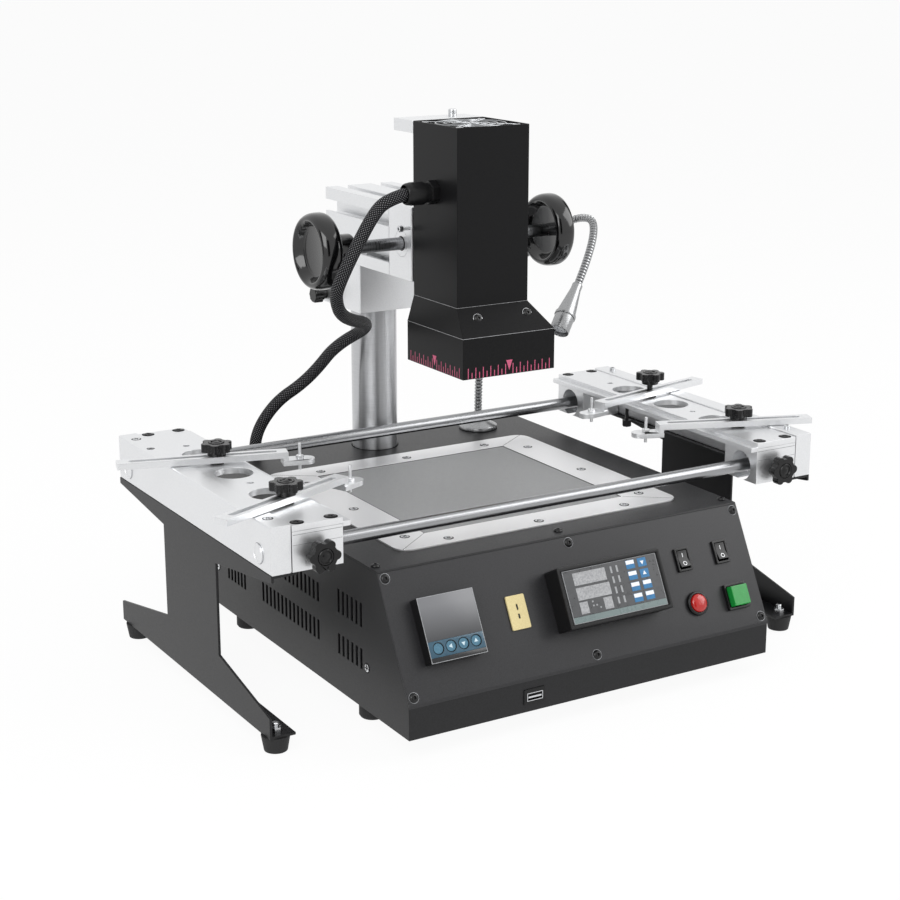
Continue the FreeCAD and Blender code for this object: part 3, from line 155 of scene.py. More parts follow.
for name, spot, size, power in (("lamp_left", (-1500, -900, 1500), 1.4, 25),
                                ("lamp_right", (1500, -700, 1300), 1.4, 19),
                                ("lamp_above", (0, 300, 2200), 2.6, 17)):
    bpy.ops.object.light_add(type="AREA", location=place(*spot))
    lamp = bpy.context.object
    lamp.name = name
    lamp.data.shape = "SQUARE"
    lamp.data.size = size
    lamp.data.energy = power
    lamp.rotation_euler = (place(0, 180, 150) - lamp.location).to_track_quat("-Z", "Y").to_euler()
    # Pale metal that faces up would clip if it mirrored this lamp on top of the white room.
    lamp.visible_glossy = name != "lamp_above"

card_black = bpy.data.materials.new("black card")
tree = clear_tree(card_black)
dark = add(tree, "ShaderNodeBsdfDiffuse", set={"Color": paint("#181818")})
add(tree, "ShaderNodeOutputMaterial", [("Surface", dark, 0)])
for name, spot, wide, tall in (("card_front", (-700, -2300, 900), 0.9, 2.6),
                               ("card_left", (-2600, 400, 900), 0.8, 2.6),
                               ("card_right", (2300, 900, 900), 0.8, 2.6)):
    nothing_selected()
    bpy.ops.mesh.primitive_plane_add(size=1, location=place(*spot))
    card = bpy.context.object
    card.name = name
    card.scale = (wide, tall, 1)
    card.rotation_euler = (place(0, 250, 250) - card.location).to_track_quat("Z", "Y").to_euler()
    card.visible_camera = False
    card.visible_diffuse = False
    card.visible_shadow = False
    card.data.materials.append(card_black)


# Console: a folded box of 1.5 mm mild steel with its top plate and leaning panel screwed on,
# all powder coated black, and black button screws with a bright rim round the panel.
def surface(name, low, high, rough, metal=0.0, grain_mm=1.0, depth=0.1, detail=3.0,
            stretch=(1, 1, 1), specular=0.5, **sockets):
    """A material whose colour and gloss wander with a grain of that size, which also lifts its skin."""
    made = bpy.data.materials.new(name)
    tree = clear_tree(made)
    shader = add(tree, "ShaderNodeBsdfPrincipled",
                 set={"Base Color": paint(low), "Roughness": rough[0], "Metallic": metal,
                      "Specular IOR Level": specular, **sockets})
    add(tree, "ShaderNodeOutputMaterial", [("Surface", shader, 0)])
    where = add(tree, "ShaderNodeTexCoord")
    turned_to = add(tree, "ShaderNodeMapping", [("Vector", where, "Object")], set={"Scale": stretch})
    noise = add(tree, "ShaderNodeTexNoise", [("Vector", turned_to, 0)],
                set={"Scale": 1000 / grain_mm, "Detail": detail, "Roughness": 0.6})
    ramp = add(tree, "ShaderNodeValToRGB", [("Fac", noise, 0)])
    ramp.name = "shades"
    for mark, position, code in zip(ramp.color_ramp.elements, (0.35, 0.65), (low, high)):
        mark.position = position
        mark.color = paint(code)
    gloss = add(tree, "ShaderNodeMapRange", [("Value", noise, 0)],
                set={"From Min": 0.3, "From Max": 0.7, "To Min": rough[0], "To Max": rough[1]})
    bump = add(tree, "ShaderNodeBump", [("Height", noise, 0)], set={"Strength": depth, "Distance": 0.0002})
    for node, socket in ((ramp, "Base Color"), (gloss, "Roughness"), (bump, "Normal")):
        tree.links.new(node.outputs[0], shader.inputs[socket])
    return made


def recoloured(material, colour, height=None, strength=0.5):
    """Puts a worked colour on a surface, and where one is given a height in place of its grain."""
    tree = material.node_tree
    sockets = tree.nodes["Principled BSDF"].inputs
    tree.links.new(colour.outputs[0], sockets["Base Color"])
    if height:
        bump = add(tree, "ShaderNodeBump", [("Height", height, 0)],
                   set={"Strength": strength, "Distance": 0.0003})
        tree.links.new(bump.outputs[0], sockets["Normal"])


def pick(piece):
    """Selects that object alone and makes it the active one."""
    nothing_selected()
    piece.select_set(True)
    bpy.context.view_layer.objects.active = piece


def fit(piece, material, body, slot, *instead, angle=35):
    """Gives a finished piece its material, smooth shading and body, and hides the nodes it stands for. The
    slot is not used.
    """
    pick(piece)
    bpy.ops.object.shade_smooth_by_angle(angle=math.radians(angle))
    piece.data.materials.clear()
    piece.data.materials.append(material)
    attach(piece, body)
    if instead:
        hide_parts(*instead)


def link(piece):
    bpy.context.scene.collection.objects.link(piece)


def edit_all():
    bpy.ops.object.mode_set(mode="EDIT")
    bpy.ops.mesh.select_all(action="SELECT")


same_point = 2e-6


def eased(node, edge_mm, material, slot, angle=40):
    """A copy of a CAD node with its sharp edges broken by that much, as the real part's are."""
    source = frame["nodes"][node]
    piece = bpy.data.objects.new(node + "_piece", source.data.copy())
    link(piece)
    pick(piece)
    bpy.ops.mesh.customdata_custom_splitnormals_clear()
    edit_all()
    bpy.ops.mesh.remove_doubles(threshold=same_point)
    bpy.ops.mesh.dissolve_limited(angle_limit=math.radians(0.6))
    bpy.ops.object.mode_set(mode="OBJECT")
    edges = piece.modifiers.new("edges", "BEVEL")
    edges.width = edge_mm / 1000
    edges.segments = 2
    edges.limit_method = "ANGLE"
    edges.angle_limit = math.radians(angle)
    edges.use_clamp_overlap = False
    bpy.ops.object.modifier_apply(modifier=edges.name)
    fit(piece, material, source["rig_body"], slot, node)
    flat = piece.modifiers.new("flat", "WEIGHTED_NORMAL")
    flat.keep_sharp = True
    bpy.ops.object.modifier_apply(modifier=flat.name)
    return piece


def turned(name, outline, steps=48, start=0.0):
    """A lathe part about its own Z axis, from (height, radius) steps in millimetres."""
    nothing_selected()
    bpy.ops.mesh.primitive_plane_add(size=0.001)
    piece = bpy.context.object
    piece.name = piece.data.name = name
    edit_all()
    bpy.ops.mesh.merge(type="CENTER")
    around = math.radians(start)
    steps_out = [Vector((r * math.cos(around), r * math.sin(around), h)) / 1000 for h, r in outline]
    bpy.ops.transform.translate(value=steps_out[0])
    for here, there in zip(steps_out, steps_out[1:]):
        bpy.ops.mesh.extrude_vertices_move(TRANSFORM_OT_translate={"value": there - here})
    bpy.ops.mesh.select_all(action="SELECT")
    bpy.ops.mesh.spin(steps=steps, angle=math.tau, center=(0, 0, 0), axis=(0, 0, 1))
    bpy.ops.mesh.select_all(action="SELECT")
    bpy.ops.mesh.remove_doubles(threshold=same_point)
    bpy.ops.mesh.normals_make_consistent(inside=False)
    bpy.ops.object.mode_set(mode="OBJECT")
    return piece


def peg(name, low, high, radius, steps, start=0.0):
    """A plain peg between two heights, round or with that many sides."""
    return turned(name, [(low, 0), (low, radius), (high, radius), (high, 0)], steps, start)


def washer(name, low, high, inner, outer, steps):
    """A flat ring between two heights and two radii."""
    return turned(name, [(low, inner), (high, inner), (high, outer), (low, outer), (low, inner)], steps)


def slab(name, low, high, edge=0.0):
    """A block between two corners in millimetres about the world's origin, with its edges broken."""
    nothing_selected()
    bpy.ops.mesh.primitive_cube_add(size=0.001)
    piece = bpy.context.object
    piece.name = piece.data.name = name
    piece.location = (Vector(low) + Vector(high)) / 2000
    piece.scale = Vector(high) - Vector(low)
    bpy.ops.object.transform_apply(location=True, rotation=True, scale=True)
    if edge:
        edit_all()
        bpy.ops.mesh.bevel(offset=edge / 1000, segments=2, affect="EDGES")
        bpy.ops.object.mode_set(mode="OBJECT")
    return piece


def cut_from(piece, cutter):
    """Takes the cutter's shape out of the piece."""
    taken = piece.modifiers.new("cut", "BOOLEAN")
    taken.object = cutter
    taken.solver = "EXACT"
    pick(piece)
    bpy.ops.object.modifier_apply(modifier=taken.name)
    bpy.data.objects.remove(cutter)


def stand(spot, out=(0, 0, 1), turn=0.0):
    """Carries a part made at the origin to that spot in metres, with its own Z along out."""
    lean = Vector(out).to_track_quat("Z", "Y").to_matrix().to_4x4()
    return Matrix.Translation(spot) @ lean @ Matrix.Rotation(math.radians(turn), 4, "Z")


def shift(x, y, z=0.0):
    return Matrix.Translation(Vector((x, y, z)) / 1000)


def at(piece, lay):
    """Carries a part's mesh to its place."""
    piece.data.transform(lay)
    return piece


to_console = Matrix.Translation(console_middle)
patterns = []


def set_out(name, pattern, spots):
    """One object made of a copy of the pattern at each of those places."""
    if pattern not in patterns:
        patterns.append(pattern)
    twins = []
    for spot in spots:
        twin = bpy.data.objects.new(name, pattern.data.copy())
        twin.data.transform(spot)
        link(twin)
        twins.append(twin)
    return joined(name, twins)


def joined(name, parts):
    nothing_selected()
    for part in parts:
        part.select_set(True)
    bpy.context.view_layer.objects.active = parts[0]
    if len(parts) > 1:
        bpy.ops.object.join()
    parts[0].name = parts[0].data.name = name
    return parts[0]


def touch(node, x, y, z, out):
    """Where a line from outside, running in against out through that point, first meets the node."""
    mesh = frame["nodes"][node].data
    tree = BVHTree.FromPolygons([v.co for v in mesh.vertices], [p.vertices for p in mesh.polygons])
    out = Vector(out).normalized()
    spot = tree.ray_cast(place(x, y, z) + out * 0.03, -out)[0]
    return spot if spot is not None else place(x, y, z)


# Powder coat: a hard plastic skin baked on, with a fine orange peel that softens reflections.
powder_coat = surface("black powder coat on steel sheet", "#161617", "#1e1e20", (0.34, 0.46),
                      grain_mm=0.9, depth=0.2, detail=4.0, specular=0.3)
# The panel's coat is painted a shade lighter and a little glossier than the rest, for the light on the
# leaning panel.
panel_coat_painted_lighter = surface("black powder coat on the panel", "#202022", "#28282a", (0.3, 0.42), grain_mm=0.9,
                     depth=0.2, detail=4.0, specular=0.4)
eased("console_shell", 0.35, powder_coat, "black_sheet")
eased("top_plate", 0.3, powder_coat, "black_sheet")
eased("front_panel", 0.3, panel_coat_painted_lighter, "black_sheet")

# Screws are turned once here and copied wherever the machine has them.
black_screw = turned("black_screw", [(-1, 0), (-1, 2.0), (0, 2.0), (0, 3.3), (0.5, 3.35), (1.1, 3.0),
                                     (1.6, 2.2), (1.75, 1.6), (1.75, 0)], 24)
cut_from(black_screw, peg("hex_key", 0.6, 3, 1.35, 6))
cap_screw = turned("cap_screw", [(-1, 0), (-1, 2.5), (0, 2.5), (2.6, 2.5), (2.9, 2.2), (2.9, 0)],
                   24)
cut_from(cap_screw, peg("hex_key", 1.2, 4, 1.5, 6))
cross_screw = turned("cross_screw", [(-1.4, 0), (-1.4, 1.6), (0, 3.0), (0.25, 3.0), (0.45, 2.7),
                                     (0.6, 1.6), (0.65, 0)], 24)


def cross(reach, half, low, high):
    """The two bars of a cross recess."""
    return [slab("cross", (-a, -b, low), (a, b, high)) for a, b in ((reach, half), (half, reach))]


for bar in cross(2.0, 0.45, -0.7, 2):
    cut_from(cross_screw, bar)
grub_screw = turned("grub_screw", [(-1, 0), (-1, 1.9), (0.0, 1.9), (0.15, 1.7), (0.15, 0)], 20)
cut_from(grub_screw, peg("hex_key", -0.8, 2, 1.0, 6))
screw_rim = turned("screw_rim", [(-0.4, 2.6), (0.1, 3.5), (0.18, 3.75), (0.1, 3.95), (-0.4, 3.95),
                                 (-0.4, 2.6)], 24)
# Painted shade: a black fill for the cross recess and a black ring for the gap round the head.
cross_dark = joined("cross_dark", cross(1.97, 0.44, -0.6, 0.5))
gap_ring = washer("gap_ring", -0.3, 0.05, 2.9, 3.85, 24)

# Black oxide: steel turned dark in a hot bath and oiled, half glossy, brown-black. The same black is painted
# shade in the sensor socket's slots.
black_oxide_and_slot_shade = surface("black oxide on screw steel", "#0e0e0f", "#1a1a1b", (0.25, 0.38), metal=0.3,
                      grain_mm=0.5, depth=0.05)
# Zinc plate: bright bluish white, cut by fine tool marks.
zinc_plate = surface("bright zinc plate on screw steel", "#c4c6c8", "#dedfe1", (0.2, 0.34), metal=1.0,
                     grain_mm=0.6, depth=0.05)
# Painted shade: recesses and gaps are filled with a dull black that gives nothing back.
painted_gap_shade = surface("oily dark recess in screw steel", "#040405", "#08080a", (0.75, 0.9), grain_mm=0.5,
                       depth=0.05, specular=0.1)
# Blackened zinc: the panel screws' washers, a dull grey ring. The same grey is painted shade round each bar
# end disc.
dull_zinc_and_gap_shade = surface("blackened zinc plate", "#86878a", "#98999b", (0.35, 0.45), metal=0.8, grain_mm=0.6,
                    depth=0.05)


def cross_screws(name, spots, body, slot, metal=None, scale=1.0):
    """Cross-recess screws at those places, each with painted shade in its recess and in the gap round its
    head.
    """
    sized = [spot @ Matrix.Scale(scale, 4) for spot in spots]
    fit(set_out(name, cross_screw, sized), metal or zinc_plate, body, slot)
    fit(joined(name + "_recess", [set_out("recess", cross_dark, sized),
                                  set_out("gap", gap_ring, sized)]), painted_gap_shade, body, slot)


# The panel leans back from its foot, and places on it are given across and up its slope.
panel_foot = 41.8
panel_up = Vector((0, 0.4657, 0.8850))
panel_out = Vector((0, -0.8850, 0.4657))
panel_lay = stand(place(0, 0, panel_foot), panel_out)


def on_slope(node, u, v):
    """The node's surface at that place on the panel's slope."""
    return touch(node, *(Vector((u, 0, panel_foot)) + panel_up * v), panel_out)


screw_columns = (-154, 0, 154)
panel_spots = [stand(on_slope("front_panel", u, v), panel_out, 15)
               for u in screw_columns for v in (88.8, 4.4)]
fit(set_out("panel_screws", black_screw, panel_spots), black_oxide_and_slot_shade, "console", "black_sheet")
fit(set_out("panel_screw_rims", screw_rim, panel_spots), dull_zinc_and_gap_shade, "console", "bright")
plate_spots = [stand(touch("top_plate", x, 55, 126, (0, 0, 1))) for x in screw_columns]
fit(set_out("plate_screws", black_screw, plate_spots), black_oxide_and_slot_shade, "console", "black_sheet")
side_spots = [stand(touch("console_shell", side * 159, y, 48.5, (side, 0, 0)), (side, 0, 0))
              for side in (-1, 1) for y in (60, 317)]
cross_screws("case_screws", side_spots, "console", "bright")

# Feet: eight moulded black rubber feet, four under the console and four under the frame.
# Moulded rubber: dull, with a mould skin that drags the light.
rubber = surface("moulded black rubber", "#111112", "#1d1d1e", (0.6, 0.8), grain_mm=1.2, depth=0.25)
eased("rubber_feet", 0.5, rubber, "rubber")

# Heater window: four mitred strips of satin anodised aluminium, screwed down over a woven
# stainless mesh, with four ceramic heaters in a bright tray below.
# Satin anodising: etched before the bath, so it glows softly and shows no sharp reflections.
satin_aluminium = surface("satin anodised aluminium", "#dfe0e2", "#e9eaeb", (0.32, 0.44), metal=0.94,
                          grain_mm=0.5, depth=0.06, detail=2.0)
# The strips are the same aluminium, painted paler to stand in for the light that falls on them.
satin_strip_painted_paler = surface("satin anodised aluminium strip", "#ececed", "#f3f3f4", (0.34, 0.46), metal=0.85,
                      grain_mm=0.5, depth=0.06, detail=2.0)
eased("heater_trim", 0.25, satin_strip_painted_paler, "silver")
trim_spots = [(-81, 281), (0, 281), (77, 281), (-80, 79), (-1, 79), (78, 79)]
trim_spots += [(side * 106, y) for side in (-1, 1) for y in (98, 177, 257)]
trim_spots = [stand(place(x, y, 126.99), turn=17 * x + 5 * y) for x, y in trim_spots]
cross_screws("trim_screws", trim_spots, "console", "bright")


def framed(name, low, high, line, edge=0.0):
    """A flat frame between two corners with bars of that width."""
    (a, b, c), (d, e, f) = low, high
    return [slab(name, (a, b, c), (d, b + line, f), edge), slab(name, (a, e - line, c), (d, e, f), edge),
            slab(name, (a, b + line, c), (a + line, e - line, f), edge),
            slab(name, (d - line, b + line, c), (d, e - line, f), edge)]


mitres = []
for side in (-1, 1):
    for inner_y, outer_y in ((98, 70), (271, 296)):
        run = Vector((side * (125.3 - 89.5), outer_y - inner_y, 0))
        aim = run.to_track_quat("X", "Z").to_matrix().to_4x4()
        lay = Matrix.Translation(place(side * 89.5, inner_y, 127)) @ aim
        mitres.append(at(slab("mitre", (0.4, -0.12, -0.3), (run.length - 4.5, 0.12, 0.06)), lay))
fit(joined("trim_mitres", mitres), black_oxide_and_slot_shade, "console", "silver")
# A thin black frame at the trim's inner edge is painted shade in the gap round the mesh.
gap = joined("mesh_gap", framed("mesh_gap", (-89.6, 97.9, 126.3), (89.6, 271.1, 126.72), 0.9))
fit(at(gap, to_console), painted_gap_shade, "console", "black_sheet")

# Woven mesh: fine stainless wire over and under, which reads as an even pale grey from afar and
# as a grid close by. It is drawn at a wire each millimetre, coarser than it is, so that it shows.
mesh_pitch = 0.001
woven_mesh = surface("fine woven stainless mesh", "#9b9c9d", "#a6a7a8", (0.42, 0.55), metal=0.3,
                     grain_mm=3.0)
tree = woven_mesh.node_tree
where = add(tree, "ShaderNodeTexCoord")
wires = [add(tree, "ShaderNodeTexWave", [("Vector", where, "Object")], bands_direction=way,
             set={"Scale": math.tau / (20 * mesh_pitch)}) for way in ("X", "Y")]
over = add(tree, "ShaderNodeMath", [(0, wires[0], "Fac"), (1, wires[1], "Fac")], operation="MAXIMUM")
holes = add(tree, "ShaderNodeMapRange", [("Value", over, 0)],
            set={"From Min": 0.35, "From Max": 0.8, "To Min": 0.55})
worked = add(tree, "ShaderNodeMixRGB", [("Color1", tree.nodes["shades"], 0), ("Color2", holes, 0)],
             blend_type="MULTIPLY", set={"Fac": 1.0})
recoloured(woven_mesh, worked, over)


def dress(material, *names):
    """A CAD node whose shape is right keeps it and takes this finish."""
    for name in names:
        slots = frame["nodes"][name].data.materials
        slots.clear()
        slots.append(material)


dress(woven_mesh, "heater_mesh")

# Aluminised sheet: rolled bright, with long faint lines from the mill.
bright_tray = surface("rolled aluminised steel", "#adaeaf", "#c6c7c8", (0.26, 0.38), metal=1.0,
                      grain_mm=2.0, stretch=(1, 12, 1))
dress(bright_tray, "heater_tray", "column_mount")
# Heater ceramic: pressed and fired unglazed, so it is chalky and speckled.
ceramic = surface("unglazed heater ceramic", "#cfc7b5", "#e2dccd", (0.7, 0.85), grain_mm=1.5, depth=0.25)
dress(ceramic, "heater_elements", "head_heater")
# Solder mask: a green lacquer on glass cloth, smooth and half glossy.
board_green = surface("green solder mask on glass board", "#124c28", "#1f6d3c", (0.3, 0.4), grain_mm=4.0,
                      depth=0.2)
dress(board_green, "power_board")

# Small controller: a snap-in ABS housing with a tinted window, a dark blue strip below it and
# four round keys that stand in black rings.
# Moulded ABS: a fine spark-eroded skin that breaks its gloss.
moulded_black = surface("moulded black ABS", "#0c0c0d", "#141415", (0.28, 0.42), grain_mm=0.6,
                        specular=0.3)
eased("lower_controller", 0.25, moulded_black, "black_plastic")


def on_panel(name, parts, material, slot="black_plastic"):
    """Joins parts drawn flat as (across, up the slope, out) and lays them on the leaning panel."""
    fit(at(joined(name, parts), panel_lay), material, "console", slot)


# Tinted window: smoked acrylic over the dark display, glossy, with a painted sheen that turns it paler at its
# top edge.
smoked = surface("smoked acrylic window", "#2e2f31", "#323335", (0.3, 0.34), grain_mm=20.0, depth=0.0)
tree = smoked.node_tree
where = add(tree, "ShaderNodeTexCoord")
height = add(tree, "ShaderNodeSeparateXYZ", [("Vector", where, "Object")])
# Painted sheen: the window turns paler towards its top.
along = add(tree, "ShaderNodeMapRange", [("Value", height, "Z")],
            set={"From Min": 0.075, "From Max": 0.102})
painted_top_sheen = add(tree, "ShaderNodeMixRGB", [("Fac", along, 0), ("Color1", tree.nodes["shades"], 0)],
           set={"Color2": paint("#727376")})
recoloured(smoked, painted_top_sheen)
unit_u, unit_v = -116.3, 46.9
key_u, key_v, key_pitch = -131.2, 33.3, 10.2


def face_patch(name, low, high):
    """A patch of the small controller's flush face between two heights up the slope."""
    return slab(name, (unit_u - 22.3, unit_v + low, 8.3), (unit_u + 22.3, unit_v + high, 9.62), 0.06)


on_panel("small_window", [face_patch("window", -8.1, 22.9)], smoked)
# Film: a printed polyester sheet, ink on its back, so it is smooth and satin.
film_blue = surface("blue-grey printed film", "#2c4c5e", "#335466", (0.3, 0.38), grain_mm=5.0, depth=0.02)
strip = face_patch("strip", -19.6, -8.2)
for n in range(4):
    cut_from(strip, at(peg("hole", 7, 11, 4.1, 40), shift(key_u + key_pitch * n, key_v)))
on_panel("small_strip", [strip], film_blue)
film_black = surface("black printed film", "#141517", "#1b1c1e", (0.22, 0.3), grain_mm=5.0, depth=0.02)
on_panel("small_sill", [face_patch("sill", -23.0, -19.7)], film_black)
# Border lines are a pale ink.
ink_pale = surface("pale grey ink", "#8d8f92", "#a2a4a6", (0.4, 0.5), depth=0.02)
border = framed("line", (unit_u - 22.65, unit_v - 23.3, 9.3), (unit_u + 22.65, unit_v + 23.25, 9.68), 0.4)
on_panel("small_border", border, ink_pale)
ring_outline = [(9.0, 4.03), (9.7, 4.03), (9.82, 4.15), (9.7, 4.4), (9.0, 4.4), (9.0, 4.03)]
rings = [at(turned("key_ring", ring_outline, 32), shift(key_u + key_pitch * n, key_v)) for n in range(4)]
on_panel("key_rings", rings, moulded_black)
# Keys: moulded in a muted blue, slightly domed and satin, three with a printed arrow.
ink_key = surface("pale blue ink", "#b9cfd8", "#c9dbe2", (0.35, 0.45), depth=0.02)
key_blue = surface("blue moulded key", "#3d677c", "#4a778d", (0.28, 0.4), depth=0.06)
for n in range(4):
    eased(f"controller_key_{n + 1}", 0.35, key_blue, "key_blue")
for n, turn in ((1, 180), (2, -90), (3, 90)):
    key = f"controller_key_{n + 1}"
    spot = stand(on_slope(key, key_u + key_pitch * n, key_v), panel_out)
    fit(at(peg(f"key_mark_{n + 1}", -0.1, 0.1, 1.8, 3, turn), spot), ink_key, frame["nodes"][key]["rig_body"],
        "key_blue")

# Large controller: a deeper housing with a printed front film: two wide windows, two small
# ones, columns of little indicator bars and eight film keys, with a grey-green sill.
eased("upper_controller", 0.8, moulded_black, "black_plastic")
big_left, big_low, big_face = 18.5 - 46, 47.6 - 22.75, 17.0


def film(name, boxes, material, high, low=0.0):
    """Printed patches on the large controller, given as (across, up, wide, tall) from its lower left."""
    parts = [slab(name, (big_left + a, big_low + b, big_face + low),
                  (big_left + a + w, big_low + b + h, big_face + high)) for a, b, w, h in boxes]
    on_panel(name, parts, material)


film_grey = surface("dark grey printed film", "#3d3e40", "#454648", (0.26, 0.34), grain_mm=5.0, depth=0.02)
film("large_face", [(4.5, 8.2, 83, 34)], film_grey, 0.25, -0.3)
film_sill = surface("grey-green printed film", "#6a7878", "#6e7c7b", (0.25, 0.33), grain_mm=5.0, depth=0.02)
film("large_sill", [(4.5, 3.4, 83, 4.6)], film_sill, 0.25, -0.3)
# Display windows: pale grey acrylic with the unlit segments behind it.
display = surface("unlit display window", "#8f9092", "#a9aaac", (0.15, 0.22), grain_mm=1.6, depth=0.05)
windows = [(12.5, 30.4, 28.5, 9.2), (12.5, 19.4, 29.5, 9.2), (12.5, 9.4, 7, 8.6), (33.5, 9.4, 7.5, 8.6)]
film("large_displays", windows, display, 0.4)
bars = [(45.6 + 5.2 * column, 11.4 + 7.6 * row, 1.5, 5.0) for column in (0, 1) for row in range(4)]
bars += [(23.5, 13.4, 1.2, 1.2), (26.4, 13.4, 1.2, 1.2), (23.5, 16.4, 1.2, 1.2), (29.3, 11.2, 1.2, 1.2)]
film("large_bars", bars, ink_pale, 0.33)
lines = [(4.3, 42.0, 83.4, 0.35), (4.3, 3.2, 83.4, 0.35), (4.3, 3.2, 0.35, 39.1), (87.35, 3.2, 0.35, 39.1)]
film("large_border", lines, ink_pale, 0.36)
ink_white = surface("white ink on film", "#dfe1e3", "#ebedee", (0.3, 0.4), depth=0.02)
ink_blue = surface("bright blue ink on film", "#1d6594", "#2471a3", (0.28, 0.36), grain_mm=2.0, depth=0.02)
keys = [(60.0 + 10.6 * column, 9.6 + 8.3 * row) for column in (0, 1) for row in range(4)]
film("film_keys_blue", [(a, b, 7.6, 6.4) for a, b in keys], ink_blue, 0.42)
whole = [(70.6, 34.5), (70.6, 26.2)]
halves = [(a + 0.2, b + 3.3, 7.2, 2.9) for a, b in keys if (round(a, 1), round(b, 1)) not in whole]
film("film_keys_white", halves, ink_white, 0.5)
marks = []
for (a, b), turn in zip(whole, (-90, 90)):
    marks.append(at(peg("key_arrow", big_face, big_face + 0.5, 1.9, 3, turn),
                    shift(big_left + a + 3.8, big_low + b + 3.2)))
on_panel("film_key_arrows", marks, ink_white)

# Sockets: a cream thermocouple socket with two flat slots, and a data socket whose folded
# shield shows as a bright rim in a black opening.
# Moulded nylon: cream, waxy, slightly mottled.
cream = surface("cream moulded nylon", "#cfbf8a", "#d8c995", (0.4, 0.5), depth=0.1)
eased("sensor_socket", 0.35, cream, "socket_cream")
# The slots are black slabs, painted shade where the socket opens.
slots = [slab("slot", (-57.3, v - 1.7, 1.2), (-56.3, v + 1.7, 1.62)) for v in (50.5, 43.8)]
on_panel("sensor_slots", slots, black_oxide_and_slot_shade, "socket_cream")
eased("data_socket", 0.25, moulded_black, "black_plastic")
socket_lay = stand(touch("data_socket", -47.6, 0, 26.9, (0, -1, 0)), (0, -1, 0))
shield = framed("shield", (-15.1, -3.1, 0.0), (-1.7, 3.1, 0.5), 0.55, 0.12)
shield.append(slab("tongue", (-14.0, -0.9, -0.4), (-2.8, 0.5, 0.3), 0.1))
fit(at(joined("data_shield", shield), socket_lay), zinc_plate, "console", "bright")
eased("mains_inlet", 0.4, moulded_black, "black_plastic")

# Switches: two snap-in rockers, black and glossy, with a white bar and a white ring, a round
# red stop button and a square green start button in black surrounds.
# Polished ABS: moulded in a mirror tool, so edges glint.
gloss_abs = surface("polished black ABS", "#070708", "#0c0c0d", (0.16, 0.24), grain_mm=4.0, depth=0.02,
                    specular=0.35)
eased("switch_bodies", 0.45, gloss_abs, "black_plastic")
for node, u in (("lighting_rocker", 95.7), ("fan_rocker", 132.0)):
    eased(node, 0.4, gloss_abs, "black_plastic")
    body = frame["nodes"][node]["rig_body"]
    marks = [slab("bar", (-0.28, -1.6, 0), (0.28, 1.6, 0.12)), washer("ring", 0, 0.12, 1.2, 1.75, 28)]
    for mark, v in zip(marks, (62.5, 56.0)):
        spot = on_slope(node, u, v)
        lean = Vector((1, 0, 0)).cross(on_slope(node, u, v + 0.8) - spot).normalized()
        at(mark, stand(spot, lean))
    fit(joined(node + "_marks", marks), ink_white, body, "black_plastic")
# Caps: clear coloured polycarbonate, deep and glossy.
red_cap = surface("red moulded polycarbonate", "#a60e09", "#b2150e", (0.14, 0.22), grain_mm=3.0, depth=0.02,
                  **{"Coat Weight": 0.4})
eased("stop_button", 0.6, red_cap, "stop_red")
green_cap = surface("green moulded polycarbonate", "#0d8230", "#118b37", (0.22, 0.28), grain_mm=3.0,
                    depth=0.0, **{"Coat Weight": 0.1})
eased("start_button", 0.7, green_cap, "start_green")

# Column: a ground and polished steel tube with plain soft bands of light down its length.
# Ground steel: fine grinding lines round the bar that stretch reflections along it.
bright_steel = surface("ground bright steel", "#b8b9bb", "#c1c2c4", (0.24, 0.28), metal=1.0, grain_mm=0.6,
                       depth=0.05, stretch=(0.05, 0.05, 1))
tube_steel = surface("round ground steel tube", "#b8b9bb", "#c1c2c4", (0.3, 0.34), metal=1.0, grain_mm=0.6,
                     depth=0.0, stretch=(0.05, 0.05, 1), Anisotropic=0.85)


def lengthwise(piece, axis, material):
    """Maps a bar so that its finish smears light along that axis, as grinding round the bar does."""
    sheet = piece.data.uv_layers.new(name="length")
    one, two = [n for n in range(3) if n != axis]
    for loop, mark in zip(piece.data.loops, sheet.data):
        vertex = piece.data.vertices[loop.vertex_index]
        mark.uv = (vertex.co[axis] * 10, math.atan2(vertex.normal[one], vertex.normal[two]) / math.tau)
    tree = material.node_tree
    along = add(tree, "ShaderNodeTangent", direction_type="UV_MAP", uv_map="length")
    tree.links.new(along.outputs[0], tree.nodes["Principled BSDF"].inputs["Tangent"])


column_y, plate_top = 336.3, 125.6
column_tube = turned("column_tube", [(125.7, 14.0), (125.7, 19.1), (126.0, 19.4), (289.2, 19.4),
                                     (289.5, 19.1), (289.5, 14.0), (125.7, 14.0)], 96)
at(column_tube, stand(place(0, column_y, 0)))
lengthwise(column_tube, 2, tube_steel)
fit(column_tube, tube_steel, "console", "bright", "column")
# A black ring round the column's foot is painted shade in the gap there.
column_gap = at(washer("column_gap", -0.1, 0.07, 19.45, 20.4, 64), stand(place(0, column_y, plate_top)))
fit(column_gap, painted_gap_shade, "console", "black_sheet")

# Clamp, boom and pinion block: sawn from extruded bar, milled, blasted and silver anodised.
for node, edge in (("clamp_block", 0.4), ("boom", 0.3), ("pinion_block", 0.4)):
    eased(node, edge, satin_aluminium, "silver")
eased("clamp_knob", 0.4, gloss_abs, "black_plastic")
block_left = [stand(touch("pinion_block", -33, 217, 332, (-1, 0, 0)), (-1, 0, 0))]
gib = turned("gib", [(-2, 0), (-2, 1.4)] + [(0.4 * n, 1.4 + 0.18 * (n % 2)) for n in range(18)]
             + [(7.2, 1.5), (7.2, 2.6), (10.2, 2.6), (10.4, 2.4), (10.4, 0)], 20)
cut_from(gib, peg("hex_key", 8.6, 12, 1.3, 6))
fit(set_out("gib_screw", gib, block_left), zinc_plate, "boom_arm", "bright")
